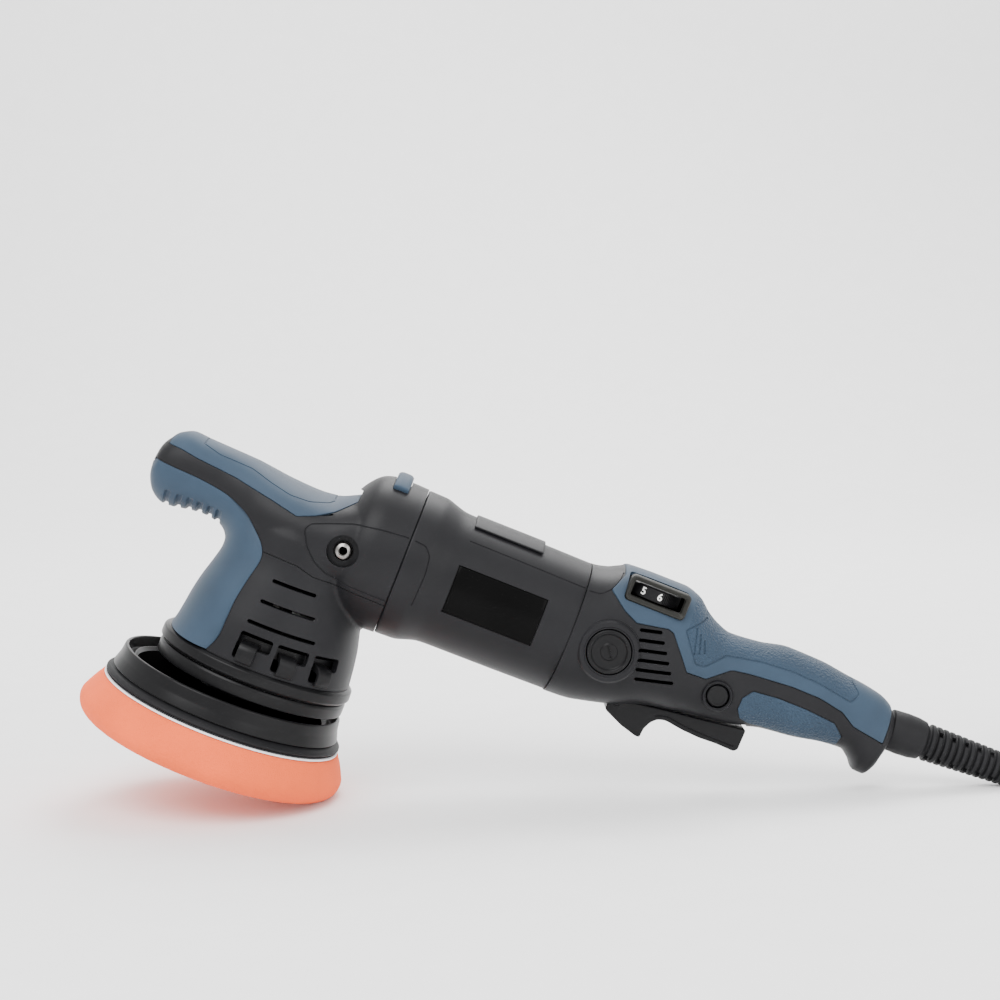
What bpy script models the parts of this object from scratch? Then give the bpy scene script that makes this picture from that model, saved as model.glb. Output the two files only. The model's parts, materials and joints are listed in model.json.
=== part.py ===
"""Dual action polisher with a 125 mm backing plate and a 15 mm orbit.

The tool is drawn in its own millimetre frame: the origin is where the output spindle's axis
meets the motor's axis, +X runs to the cord, +Z up the spindle, and -Y is the tool's left side.
The tool frame is then tilted, so that the tool rests on the pad's rear edge and the cord guard.
"""

import math

import bmesh
import bpy
from mathutils import Vector

MM = 0.001
GAP = 0.3

# Driving dimensions, in millimetres
ORBIT_OFFSET = 7.5
PLATE_R = 62.5
PAD_R = 70.0
PAD_TOP_Z = -105.2
PAD_FACE_Z = -127.0
PAD_ROUND = 8.0
SEAM_FRONT_X = 49.4
SEAM_REAR_X = 139.6
CROWN_TEETH = 20
PINION_TEETH = 5
PITCH_SLOPE = PINION_TEETH / CROWN_TEETH
BRUSH_X = 160.6
DIAL_X = 172.5
DIAL_Z = 33.0
LOCK_X = 220.8
LOCK_Z = -2.7
TRIGGER_PIVOT = (177.0, -26.4)
TRIGGER_HALF = 9.7
GUARD_START = (312.6, 11.0)
GUARD_END = (378.0, 13.3)
GUARD_END_R = 8.1
CORD_R = 4.0
COIL_MID_R = 45.0
COIL_HALF = 16.0
LEAD_RUN = 60.0
END_TURN_R = 53.0
END_BEND_R = 34.0
PLUG_ENTRY = (END_TURN_R - END_BEND_R) * math.sqrt(0.5)
PLUG_SIDE = PLUG_ENTRY + END_BEND_R
PLUG_Z = 2 * COIL_HALF + 12.4 + 0.4

# Outlines of the palm handle and head, as (x, top z, bottom z, half width)
HEAD_TABLE = [
    (-84.6, 6.0, -1.5, 5.0), (-83.3, 11.5, -7.0, 11.0), (-80.5, 16.0, -12.0, 15.0),
    (-77.0, 19.8, -15.5, 17.0), (-70.0, 22.6, -16.5, 18.5), (-62.0, 22.0, -15.6, 19.0),
    (-50.0, 21.5, -14.6, 19.0), (-43.0, 21.2, -16.0, 20.0), (-37.0, 20.9, -24.0, 23.0),
    (-28.0, 19.8, -26.0, 28.0), (-17.0, 18.4, -26.0, 32.0), (-2.0, 17.6, -26.0, 35.0),
    (8.0, 18.6, -26.0, 36.0), (16.0, 22.0, -26.0, 36.5), (24.0, 26.0, -26.0, 36.0),
]
# Outlines of the rear casing, as (x, top z, bottom z, half width)
TAIL_TABLE = [
    (139.9, 34.0, -34.2, 34.2), (148.0, 35.6, -34.0, 33.8), (153.0, 38.0, -33.6, 33.2),
    (158.0, 40.2, -32.6, 32.8), (174.0, 40.8, -28.6, 31.8), (188.0, 40.8, -23.4, 30.0),
    (196.6, 38.6, -21.6, 27.5), (204.5, 32.6, -20.6, 24.5), (211.0, 29.0, -19.6, 22.6),
    (219.0, 26.6, -18.8, 21.0), (234.0, 27.8, -17.0, 19.4), (250.0, 30.8, -12.4, 19.0),
    (267.0, 30.4, -10.4, 19.0), (283.0, 28.4, -7.4, 19.0), (292.0, 27.4, -6.8, 18.6),
    (299.0, 26.2, -10.8, 17.6), (303.0, 25.2, -15.0, 16.6), (307.5, 23.0, -15.2, 15.6),
    (310.4, 20.6, -11.0, 14.4), (312.0, 18.4, -4.0, 12.6),
]
PARTING = [(-60.0, -17.4), (-8.0, -16.6), (3.0, -16.8), (12.0, -19.3), (60.0, -20.2)]

PARTS = bpy.data.collections.new("dual_action_polisher")
CUTTERS = bpy.data.collections.new("cutters")
MATERIALS = {
    "dark_plastic": ((0.045, 0.045, 0.048), 0.55, 0.0),
    "black_plastic": ((0.02, 0.02, 0.022), 0.45, 0.0),
    "blue_rubber": ((0.10, 0.15, 0.20), 0.65, 0.0),
    "black_rubber": ((0.02, 0.02, 0.021), 0.75, 0.0),
    "label_black": ((0.004, 0.004, 0.004), 0.25, 0.0),
    "dial_grey": ((0.07, 0.07, 0.06), 0.5, 0.0),
    "steel": ((0.55, 0.55, 0.56), 0.3, 1.0),
    "copper": ((0.72, 0.33, 0.16), 0.35, 1.0),
    "aluminium": ((0.7, 0.7, 0.72), 0.45, 1.0),
    "carbon": ((0.02, 0.02, 0.02), 0.8, 0.0),
    "hook_nylon": ((0.03, 0.03, 0.035), 0.9, 0.0),
    "loop_white": ((0.8, 0.8, 0.8), 0.9, 0.0),
    "foam_orange": ((0.9, 0.36, 0.17), 0.95, 0.0),
}


# ---------------------------------------------------------------- helpers


def clear_scene():
    for old in list(bpy.data.objects):
        bpy.data.objects.remove(old)
    for collection in (PARTS, CUTTERS):
        bpy.context.scene.collection.children.link(collection)
    CUTTERS.hide_render = True


def material(name):
    found = bpy.data.materials.get(name)
    if found:
        return found
    colour, roughness, metallic = MATERIALS[name]
    made = bpy.data.materials.new(name)
    made.use_nodes = True
    shader = made.node_tree.nodes["Principled BSDF"]
    shader.inputs["Base Color"].default_value = (*colour, 1.0)
    shader.inputs["Roughness"].default_value = roughness
    shader.inputs["Metallic"].default_value = metallic
    return made


def empty(name, parent=None, at=(0.0, 0.0, 0.0)):
    made = bpy.data.objects.new(name, None)
    PARTS.objects.link(made)
    made.parent = parent
    made.location = Vector(at) * MM
    return made


def add(name, bm, paint, parent):
    """A mesh object from a bmesh in metres; with no paint it is a cutter."""
    mesh = bpy.data.meshes.new(name)
    bm.to_mesh(mesh)
    bm.free()
    made = bpy.data.objects.new(name, mesh)
    (PARTS if paint else CUTTERS).objects.link(made)
    made.parent = parent
    if paint:
        mesh.materials.append(material(paint))
        mesh.shade_smooth()
        mesh.set_sharp_from_angle(angle=math.radians(35))
    else:
        made.hide_render = True
        made.display_type = "WIRE"
    return made


def lathe(name, profile, paint, parent, axis="Z", at=(0, 0, 0), steps=20, ring=True):
    """A turned piece: profile is (radius, height) down its outer side, a ring comes back up inside."""
    bm = bmesh.new()
    verts = [bm.verts.new((r * MM, 0.0, h * MM)) for r, h in profile]
    pairs = list(zip(verts, verts[1:])) + ([(verts[-1], verts[0])] if ring else [])
    for a, b in pairs:
        bm.edges.new((a, b))
    made = add(name, bm, paint, parent)
    made.location = Vector(at) * MM
    turns = {"Z": (0, 0, 0), "X": (0, 90, 0), "-Y": (90, 0, 0), "+Y": (-90, 0, 0)}
    made.rotation_euler = [math.radians(angle) for angle in turns[axis]]
    screw = made.modifiers.new("turn", "SCREW")
    screw.steps = screw.render_steps = steps
    screw.use_merge_vertices = True
    screw.merge_threshold = 1e-5
    return made


def disc(name, radius, low, high, paint, parent, **options):
    """A plain turned cylinder from height low to high."""
    profile = [(0, high), (radius, high), (radius, low), (0, low)]
    return lathe(name, profile, paint, parent, ring=False, **options)


def tube(name, outer, inner, low, high, paint, parent, **options):
    """A plain turned ring."""
    profile = [(outer, high), (outer, low), (inner, low), (inner, high)]
    return lathe(name, profile, paint, parent, **options)


def box(name, low, high, paint, parent, turn_y=0.0):
    """A box between two corners, turned about Y through its own middle."""
    bm = bmesh.new()
    bmesh.ops.create_cube(bm, size=1.0)
    size = [(b - a) * MM for a, b in zip(low, high)]
    bmesh.ops.scale(bm, vec=size, verts=bm.verts)
    made = add(name, bm, paint, parent)
    made.location = Vector([(a + b) / 2 * MM for a, b in zip(low, high)])
    made.rotation_euler = (0.0, math.radians(turn_y), 0.0)
    return made


def round_edges(made, width, segments=1, angle=50):
    bevel = made.modifiers.new("round", "BEVEL")
    bevel.width = width * MM
    bevel.segments = segments
    bevel.limit_method = "ANGLE"
    bevel.angle_limit = math.radians(angle)


def rings_solid(name, rings, paint, parent, loop=False):
    """A solid through rings of points in millimetres, capped at both ends or joined in a loop."""
    bm = bmesh.new()
    layers = [[bm.verts.new(Vector(p) * MM) for p in ring] for ring in rings]
    count = len(layers[0])
    following = layers[1:] + ([layers[0]] if loop else [])
    for low, high in zip(layers, following):
        for j in range(count):
            k = (j + 1) % count
            bm.faces.new((low[j], low[k], high[k], high[j]))
    if not loop:
        bm.faces.new(layers[0])
        bm.faces.new(list(reversed(layers[-1])))
    bmesh.ops.recalc_face_normals(bm, faces=bm.faces)
    return add(name, bm, paint, parent)


def skin(name, outer, inner, paint, parent):
    """A curved sheet of real thickness between two grids of points in millimetres."""
    bm = bmesh.new()
    tops = [[bm.verts.new(Vector(p) * MM) for p in row] for row in outer]
    bases = [[bm.verts.new(Vector(p) * MM) for p in row] for row in inner]
    rows, columns = len(tops), len(tops[0])
    for grid in (tops, bases):
        for i in range(rows - 1):
            for j in range(columns - 1):
                bm.faces.new((grid[i][j], grid[i][j + 1], grid[i + 1][j + 1], grid[i + 1][j]))
    rim = [(0, j) for j in range(columns)] + [(i, columns - 1) for i in range(1, rows)]
    rim += [(rows - 1, j) for j in range(columns - 2, -1, -1)]
    rim += [(i, 0) for i in range(rows - 2, 0, -1)]
    for (i, j), (k, m) in zip(rim, rim[1:] + rim[:1]):
        bm.faces.new((tops[i][j], tops[k][m], bases[k][m], bases[i][j]))
    bmesh.ops.recalc_face_normals(bm, faces=bm.faces)
    return add(name, bm, paint, parent)


def prism(name, outline, low_y, high_y, paint, parent, at=(0, 0, 0)):
    """An outline in X and Z, carried from low_y to high_y."""
    rings = [[(x, y, z) for x, z in outline] for y in (low_y, high_y)]
    made = rings_solid(name, rings, paint, parent)
    made.location = Vector(at) * MM
    return made


def cut(made, *cutters, join=False):
    """Cuts or joins; the lofted shells need the MANIFOLD solver, where EXACT loses faces."""
    for cutter in cutters:
        step = made.modifiers.new(cutter.name, "BOOLEAN")
        step.operation = "UNION" if join else "DIFFERENCE"
        step.object = cutter
        if made.name in ("head_cover", "shroud", "tail_shell_left", "tail_shell_right"):
            step.solver = "MANIFOLD"


def read_table(table, x, column):
    """The table's column at x, on a smooth curve through its rows."""
    xs = [row[0] for row in table]
    x = min(max(x, xs[0]), xs[-1])
    i = max(k for k in range(len(xs) - 1) if xs[k] <= x)
    ys = [row[column] for row in table]

    def slope(k):
        if k in (0, len(xs) - 1):
            return 0.0
        left = (ys[k] - ys[k - 1]) / (xs[k] - xs[k - 1])
        right = (ys[k + 1] - ys[k]) / (xs[k + 1] - xs[k])
        return 0.0 if left * right <= 0 else 2 * left * right / (left + right)

    span = xs[i + 1] - xs[i]
    t = (x - xs[i]) / span
    start, end = (ys[i], slope(i) * span), (ys[i + 1], slope(i + 1) * span)
    return (
        (2 * t**3 - 3 * t**2 + 1) * start[0] + (t**3 - 2 * t**2 + t) * start[1]
        + (3 * t**2 - 2 * t**3) * end[0] + (t**3 - t**2) * end[1]
    )


def signed_power(value, power):
    return math.copysign(abs(value) ** power, value)


def body_point(table, x, angle, out=0.0, square=2.4):
    """A point on a lofted body: angle 0 is the left side (-Y), 90 degrees the top."""
    top, low = read_table(table, x, 1) + out, read_table(table, x, 2) - out
    half = read_table(table, x, 3) + out
    power = 2.0 / square
    y = -half * signed_power(math.cos(angle), power)
    z = (top + low) / 2 + (top - low) / 2 * signed_power(math.sin(angle), power)
    return (x, y, z)


def angle_at(table, x, z, square=2.4):
    """The angle at which a lofted body's left side stands at height z."""
    top, low = read_table(table, x, 1), read_table(table, x, 2)
    share = (z - (top + low) / 2) / ((top - low) / 2)
    share = min(max(share, -1.0), 1.0)
    return math.asin(signed_power(share, square / 2))


def body_rings(table, stations, sides, out=0.0, square=2.4):
    angles = [2 * math.pi * k / sides for k in range(sides)]
    return [[body_point(table, x, a, out, square) for a in angles] for x in stations]


def stance():
    """The tilt at which the pad's rounded edge and the cord guard's end stand on one plane."""
    edge_x, edge_z = PAD_R - PAD_ROUND - ORBIT_OFFSET, PAD_FACE_Z + PAD_ROUND
    slope = math.atan2(GUARD_END[1] - 10.6, GUARD_END[0] - 301.0)
    guard_x = GUARD_END[0] + GUARD_END_R * math.sin(slope)
    guard_z = GUARD_END[1] - GUARD_END_R * math.cos(slope)
    run, rise = guard_x - edge_x, guard_z - edge_z
    tilt = math.atan2(rise, run) + math.asin(PAD_ROUND / math.hypot(run, rise))
    lift = edge_x * math.sin(tilt) - edge_z * math.cos(tilt) + PAD_ROUND
    return tilt, lift


TILT, LIFT = stance()
SHIFT_X = -120.0


def to_world(x, z):
    """World X and Z in millimetres of a point of the tool's mid plane."""
    return (
        x * math.cos(TILT) + z * math.sin(TILT) + SHIFT_X,
        -x * math.sin(TILT) + z * math.cos(TILT) + LIFT,
    )


# ---------------------------------------------------------------- head


def grip_rows(out, spread=0.0, columns=8):
    """The front grip: arches from one edge over the handle's underside and the front pillar."""
    stations = [
        ((-83.0, 4.4, 9.0), (-85.0, 1.0)), ((-81.0, 4.4, 14.0), (-83.8, -6.1)),
        ((-77.0, 4.2, 16.6), (-80.2, -12.6)), ((-71.0, 4.0, 18.2), (-74.5, -16.4)),
        ((-65.0, 3.8, 18.8), (-68.5, -16.6)), ((-58.0, 3.4, 18.9), (-61.5, -15.4)),
        ((-50.0, 2.4, 19.0), (-54.5, -14.4)), ((-43.0, 1.2, 19.8), (-48.0, -14.7)),
        ((-36.0, -1.0, 22.0), (-41.8, -16.4)), ((-29.5, -3.8, 25.6), (-38.0, -20.4)),
        ((-23.5, -8.6, 29.6), (-37.4, -25.0)), ((-18.4, -14.6, 32.8), (-38.2, -29.4)),
        ((-16.8, -21.0, 34.4), (-40.0, -36.0)), ((-18.2, -31.0, 36.4), (-42.0, -43.0)),
        ((-19.6, -42.0, 38.6), (-43.7, -51.0)), ((-20.8, -53.0, 40.2), (-44.9, -59.0)),
        ((-21.6, -62.0, 41.4), (-46.0, -65.6)), ((-23.4, -70.0, 42.2), (-47.2, -70.0)),
    ]
    rows = []
    for (edge_x, edge_z, half), (peak_x, peak_z) in stations:
        away = Vector((peak_x - edge_x, peak_z - edge_z))
        unit = away.normalized()
        start = Vector((edge_x, edge_z)) - unit * spread
        reach = (away.length + spread + out) * unit
        row = []
        for k in range(columns + 1):
            angle = math.pi * (k / columns - 0.5)
            place = start + reach * math.cos(angle) ** 0.92
            row.append((place.x, (half + max(out, out * 0.8)) * math.sin(angle), place.y))
        rows.append(row)
    if spread:
        first, last = rows[0], rows[-1]
        rows.insert(0, [(x - 1.2 * spread, y, z + 0.8 * spread) for x, y, z in first])
        rows.append([(x, y, z - 4.0 * spread) for x, y, z in last])
    return rows


def top_grip_rows(out, spread=0.0, columns=8):
    """The top grip: from its left edge over the handle's back to its right edge."""
    edge = [
        (-79.4, 13.2), (-72.0, 13.6), (-62.9, 12.4), (-42.0, 10.6), (-20.7, 7.8),
        (-6.5, 5.4), (2.0, 8.6), (10.0, 12.6), (18.6, 21.4),
    ]
    rows = []
    stations = 10
    for i in range(stations + 1):
        x = edge[0][0] - spread + (edge[-1][0] - edge[0][0] + 2 * spread) * i / stations
        table = [(ex, ez) for ex, ez in edge]
        low = read_table(table, x, 1) - spread
        first = angle_at(HEAD_TABLE, x, low)
        row = []
        for k in range(columns + 1):
            angle = first + (math.pi - 2 * first) * k / columns
            row.append(body_point(HEAD_TABLE, x, angle, out))
        rows.append(row)
    return rows


def parting_half(name, up, parent):
    """A cutter for all that lies above, or below, the head's parting line."""
    shift = GAP / 2 if up else -GAP / 2
    far = 80.0 if up else -90.0
    line = [(-100.0, PARTING[0][1] - shift)] + [(x, z - shift) for x, z in PARTING]
    line = [(x, z) for x, z in line] + [(70.0, PARTING[-1][1] - shift)]
    return prism(name, line + [(70.0, far), (-100.0, far)], -60, 60, None, parent)


def make_head(tool):
    stations = [row[0] for row in HEAD_TABLE]
    cover = rings_solid("head_cover", body_rings(HEAD_TABLE, stations, 18), "dark_plastic", tool)
    barrel_profile = [
        (0, SEAM_FRONT_X), (38.6, SEAM_FRONT_X), (39.0, 44), (39.1, 32), (36.9, 25),
        (31.0, 19.6), (22.0, 14.5), (0, 12),
    ]
    barrel = lathe("barrel_form", barrel_profile, None, tool, axis="X", ring=False)
    cut(cover, barrel, join=True)
    cavities = [
        disc("cavity_spindle", 33.4, -60, 13.4, None, tool),
        lathe(
            "cavity_barrel", [(0, 70), (34.6, 70), (34.6, 30), (28, 22), (19, 16.4), (8, 12), (0, 12)], None, tool,
            axis="X", ring=False,
        ),
    ]
    core_stations = [-70, -60, -48, -36, -26]
    core = rings_solid(
        "cavity_handle", body_rings(HEAD_TABLE, core_stations, 10, out=-8.0), None, tool
    )
    recesses = [
        skin("recess_top", top_grip_rows(4.0, GAP), top_grip_rows(-2.2, GAP), None, tool),
        skin("recess_front", grip_rows(4.0, GAP), grip_rows(-2.8, GAP), None, tool),
    ]
    below = parting_half("below_parting", False, tool)
    bolts = [
        disc(f"bolt_recess_{side}", 8.0, 31.2, 50, None, tool, axis=axis, at=(20.9, 0, -2.1))
        for side, axis in (("left", "-Y"), ("right", "+Y"))
    ]
    bumper_recess = bumper_form("bumper_recess", GAP, None, tool)
    cut(cover, *cavities, core, *recesses, below, *bolts, bumper_recess)
    skin("handle_top_grip", top_grip_rows(0.35), top_grip_rows(-1.6), "blue_rubber", tool)
    skin("handle_front_grip", grip_rows(0.0), grip_rows(-2.3), "blue_rubber", tool)
    bumper_form("rest_bumper", 0.0, "blue_rubber", tool)
    for side, axis in (("left", "-Y"), ("right", "+Y")):
        make_bolt(f"handle_bolt_{side}", tool, axis, (20.9, 0, -2.1))
    return cavities, recesses, barrel


def bumper_form(name, spread, paint, parent):
    """A saddle of rubber over the barrel's ridge."""
    rows_out, rows_in = [], []
    for x in (31.0 - spread, 33.0, 38.5, 40.5 + spread):
        rise = 4.4 if x in (33.0, 38.5) else 3.2
        outer, inner = [], []
        for k in range(9):
            turn = math.radians((-33.0 - spread) + (66.0 + 2 * spread) * k / 8)
            low = 1.6 + (rise - 1.6) * math.cos(turn * 90 / 34) ** 0.5 + spread
            low = low if paint else low + 3
            for radius, row in ((39.0 + low, outer), (37.2 - spread, inner)):
                row.append((x, -radius * math.sin(turn), radius * math.cos(turn)))
        rows_out.append(outer)
        rows_in.append(inner)
    return skin(name, rows_out, rows_in, paint, parent)


def make_bolt(name, tool, axis, at):
    """A button head bolt with a hexagon socket."""
    profile = [(0, 34.4), (2.6, 34.4), (4.4, 33.4), (5.0, 31.9), (5.0, 31.5), (0, 31.5)]
    head = lathe(name, profile, "steel", tool, axis=axis, at=at, steps=13, ring=False)
    socket = disc(f"{name}_socket", 1.9, 32.6, 40, None, tool, axis=axis, at=at, steps=6)
    cut(head, socket)


def make_shroud(tool, cavities, recesses, barrel):
    profile = [
        (37.0, -10), (37.2, -18), (38.4, -24), (40.4, -31), (42.7, -40), (45.6, -51),
        (47.0, -60), (48.2, -70.2), (44.6, -70.2), (43.2, -60), (41.6, -51), (38.6, -40),
        (35.0, -31), (33.4, -20), (33.4, -10),
    ]
    shroud = lathe("shroud", profile, "dark_plastic", tool, steps=32)
    cut(shroud, barrel, join=True)
    above = parting_half("above_parting", True, tool)
    hollow = lathe(
        "hollow_shroud",
        [(33.4, -5), (33.4, -20), (35.0, -31), (38.6, -40), (41.6, -51), (41.6, -72),
         (0, -72), (0, -5)],
        None, tool, steps=24, ring=True,
    )
    cut(shroud, above, cavities[1], hollow, recesses[1])
    for side in (-1, 1):
        word = "left" if side < 0 else "right"
        for k, (middle, length) in enumerate(((5.6, 22.5), (6.6, 28.0), (7.6, 34.5))):
            z = -27.4 - 10.9 * k
            ends = sorted((side * 30, side * 60))
            slot = box(
                f"slot_{word}_{k}", (middle - length / 2, ends[0], z - 1.0),
                (middle + length / 2, ends[1], z + 1.0), None, tool,
            )
            cut(shroud, slot)
        for k, turn in enumerate((92.5, 68.5, 43.5)):
            window = window_form(f"window_{word}_{k}", side * turn, tool)
            cut(shroud, window)


def window_form(name, turn, tool):
    """A cutter through the shroud's wall, above the ring, at a turn about the spindle."""
    bm = bmesh.new()
    bmesh.ops.create_cube(bm, size=1.0)
    bmesh.ops.scale(bm, vec=(20 * MM, 17.0 * MM, 7.0 * MM), verts=bm.verts)
    bmesh.ops.translate(bm, vec=(47 * MM, 0, -60.2 * MM), verts=bm.verts)
    made = add(name, bm, None, tool)
    made.rotation_euler = (0, 0, math.radians(turn))
    return made


def make_rings(tool):
    lathe(
        "shroud_ring",
        [(48.6, -70.6), (50.4, -72.0), (50.6, -76.4), (49.2, -78.0), (45.2, -78.0), (45.2, -70.6)],
        "dark_plastic", tool, steps=24,
    )
    lathe(
        "skirt_ring",
        [(48.8, -78.3), (49.6, -79.6), (49.5, -85.0), (47.9, -85.3), (47.0, -84.0), (46.2, -78.3)],
        "black_rubber", tool, steps=24,
    )
    guide = tube("air_guide", 41.2, 39.0, -63.0, -57.0, "dark_plastic", tool, steps=16)
    for side in (-1, 1):
        for k, turn in enumerate((96.5, 72.5, 47.5)):
            cut(guide, tab_form(f"tab_{side}_{k}", side * turn, tool), join=True)


def tab_form(name, turn, tool):
    """A rounded fin of the inner air guide, standing in a window."""
    profile = [(39.8, -57.5), (45.0, -57.5), (49.0, -59.2), (50.1, -62.0), (50.3, -67.6),
               (49.6, -69.4), (48.6, -69.4), (48.5, -63.2), (39.8, -61.6)]
    rings = [[(r, y, z) for r, z in profile] for y in (-4.4, 4.4)]
    made = rings_solid(name, rings, None, tool)
    made.rotation_euler = (0, 0, math.radians(turn))
    return made


# ---------------------------------------------------------------- drive


def gear_ring(name, teeth, place, paint, parent):
    """A bevel gear's toothed ring: place(radius share, step) gives its points."""
    rings = [[place(part, step) for step in range(teeth * 4)] for part in range(4)]
    return rings_solid(name, rings, paint, parent, loop=True)


def make_crown_gear(parent):
    """Teeth stand on a cone of PITCH_SLOPE below the motor's axis, a gap facing the pinion."""
    duty = (-0.34, -0.14, 0.14, 0.34)

    def place(part, step):
        tooth, quarter = divmod(step, 4)
        angle = 2 * math.pi * (tooth + 0.5 + duty[quarter]) / CROWN_TEETH
        radius = (24.0, 13.0, 7.2, 23.0)[part]
        if part in (0, 1):
            depth = 0.28 if quarter in (1, 2) else -0.36
            z = -radius * PITCH_SLOPE * (1.0 - 0.22 * (1 if depth > 0 else -1.1))
        else:
            z = -12.6
        return (radius * math.cos(angle), radius * math.sin(angle), z)

    return gear_ring("crown_gear", CROWN_TEETH, place, "steel", parent)


def make_pinion(parent):
    """The motor's bevel pinion, with a tooth pointing straight down between two crown teeth."""
    duty = (-0.3, -0.1, 0.1, 0.3)
    rings = []
    for x in (13.4, 22.4):
        ring = []
        for step in range(PINION_TEETH * 4):
            tooth, quarter = divmod(step, 4)
            angle = 2 * math.pi * (tooth + duty[quarter]) / PINION_TEETH
            radius = x * PITCH_SLOPE * (1.13 if quarter in (1, 2) else 0.68)
            ring.append((x, radius * math.sin(angle), -radius * math.cos(angle)))
        rings.append(ring)
    return rings_solid("bevel_pinion", rings, "steel", parent)


def make_spindle(spindle):
    profile = [
        (0, 11.4), (5.0, 11.4), (5.0, -2.4), (6.8, -2.4), (6.8, -16), (7.4, -16), (7.4, -60), (0, -60),
    ]
    shaft = lathe("spindle", profile, "steel", spindle, ring=False, steps=13)
    hub = lathe(
        "hub_form", [(0, -58.2), (17, -58.2), (17, -78), (13.0, -78), (13.0, -63), (6, -63), (6, -61.4),
                     (0, -61.4)],
        None, spindle, at=(-ORBIT_OFFSET, 0, 0), ring=False, steps=16,
    )
    cut(shaft, hub, join=True)
    make_crown_gear(spindle)
    weight = tube("counterweight", 13.0, 7.7, -57.4, -46.0, "steel", spindle, steps=16)
    arc = [math.radians(-78 + 156 * k / 10) for k in range(11)]
    outline = [(34 * math.cos(a), 34 * math.sin(a)) for a in arc]
    outline += [(10.5 * math.cos(a), 10.5 * math.sin(a)) for a in reversed(arc)]
    rings = [[(x, y, z) for x, y in outline] for z in (-56.0, -47.0)]
    cut(weight, rings_solid("weight_form", rings, None, spindle), join=True)
    tube("spindle_bearing_upper", 10.8, 5.3, 3.4, 10.6, "steel", spindle, steps=13)
    tube("spindle_bearing_lower", 17.2, 7.7, -29.6, -18.4, "steel", spindle, steps=16)
    tube("pad_bearing", 12.7, 5.4, -75.6, -63.4, "steel", spindle, at=(-ORBIT_OFFSET, 0, 0), steps=13)


def make_gear_case(tool):
    lathe(
        "gearbox_housing",
        [(21.6, -16.8), (22.4, -28), (32.8, -28.6), (32.8, -31.8), (11.5, -31.8), (11.5, -30.2),
         (17.6, -30.2), (17.6, -16.8)],
        "aluminium", tool, steps=16,
    )


# ---------------------------------------------------------------- pad


def make_pad(pad):
    lathe(
        "backing_plate",
        [(55.2, -89.0), (57.0, -89.4), (56.2, -94.4), (57.2, -98.7), (8.4, -98.7), (8.4, -90.4),
         (5.0, -90.4), (5.0, -86.6), (14.0, -86.6), (16.5, -93.6), (48.6, -93.6), (50.4, -91.2),
         (52.2, -93.8), (54.2, -93.8)],
        "black_plastic", pad, steps=24,
    )
    tube("plate_cushion", PLATE_R, 12.0, -102.6, -99.0, "black_rubber", pad, steps=24)
    tube("hook_layer", PLATE_R - 0.4, 12.0, -103.6, -102.9, "hook_nylon", pad, steps=24)
    tube("loop_layer", PLATE_R + 0.2, 9.0, -104.9, -103.9, "loop_white", pad, steps=24)
    corner = PAD_R - PAD_ROUND
    round_edge = []
    for k in range(4):
        turn = math.radians(5 - 95 * k / 3)
        round_edge.append((corner + PAD_ROUND * math.cos(turn), PAD_FACE_Z + PAD_ROUND + PAD_ROUND * math.sin(turn)))
    profile = [(PLATE_R + 0.6, PAD_TOP_Z), (66.6, -111.5)] + round_edge
    lathe("foam_pad", profile + [(9.0, PAD_FACE_Z), (9.0, PAD_TOP_Z)], "foam_orange", pad, steps=30)
    profile = [(0, -61.9), (5.1, -61.9), (5.1, -79.2), (9.5, -79.2), (9.5, -86.2), (4.7, -86.2),
               (4.7, -91.6), (0, -91.6)]
    stud = lathe("pad_spindle", profile, "steel", pad, ring=False, steps=13)
    stud_hole = disc("stud_hole", 2.6, -95, -80, None, pad, steps=16)
    cut(stud, stud_hole)
    profile = [(0, -82), (2.3, -82), (2.3, -92.6), (6.8, -92.6), (7.4, -96.8), (0, -96.8)]
    screw = lathe("plate_screw", profile, "steel", pad, ring=False, steps=13)
    cut(screw, disc("plate_screw_socket", 2.6, -100, -94.4, None, pad, steps=6))


# ---------------------------------------------------------------- motor


def make_motor(tool):
    outer = [
        (34.0, SEAM_REAR_X), (34.4, 110), (34.6, 76), (34.9, 70.4), (36.8, 64.4), (38.1, 60.4),
        (38.4, 50.4), (37.9, SEAM_FRONT_X + GAP),
    ]
    inner = [(34.6, SEAM_FRONT_X + GAP), (34.6, 60), (31.6, 68), (31.6, SEAM_REAR_X)]
    housing = lathe("motor_housing", outer + inner, "dark_plastic", tool, axis="X", steps=32)
    cut(housing, curved_plate("label_recess", (76.4, 123.6), (-21, 21), 33.0, 37.0, None, tool))
    curved_plate("label_plate", (76.9, 123.1), (-20.4, 20.4), 33.3, 34.9, "label_black", tool)
    curved_plate("motor_top_strip", (77.1, 113.9), (61.6, 118.4), 34.9, 35.9, "dark_plastic", tool)
    tube("stator_core", 31.2, 20.8, 72, 128, "steel", tool, axis="X", steps=16)
    for name, low in (("field_winding_front", 63.6), ("field_winding_rear", 128.4)):
        lathe(
            name, [(27.5, low + 8), (29.6, low + 6), (29.6, low + 2), (27.5, low), (22.5, low), (22.5, low + 8)],
            "copper", tool, axis="X", steps=13,
        )
    tube("fan_baffle", 33.2, 22.4, 61.6, 63.2, "black_plastic", tool, axis="X", steps=16)


def curved_plate(name, span, turn, low, high, paint, parent):
    """A plate bent round the motor's axis: turn is from the left side (0) to the top (90)."""
    grids = []
    for radius in (high, low):
        grid = []
        for x in span:
            angles = [math.radians(turn[0] + (turn[1] - turn[0]) * k / 6) for k in range(7)]
            grid.append([(x, -radius * math.cos(a), radius * math.sin(a)) for a in angles])
        grids.append(grid)
    return skin(name, *grids, paint, parent)


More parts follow.
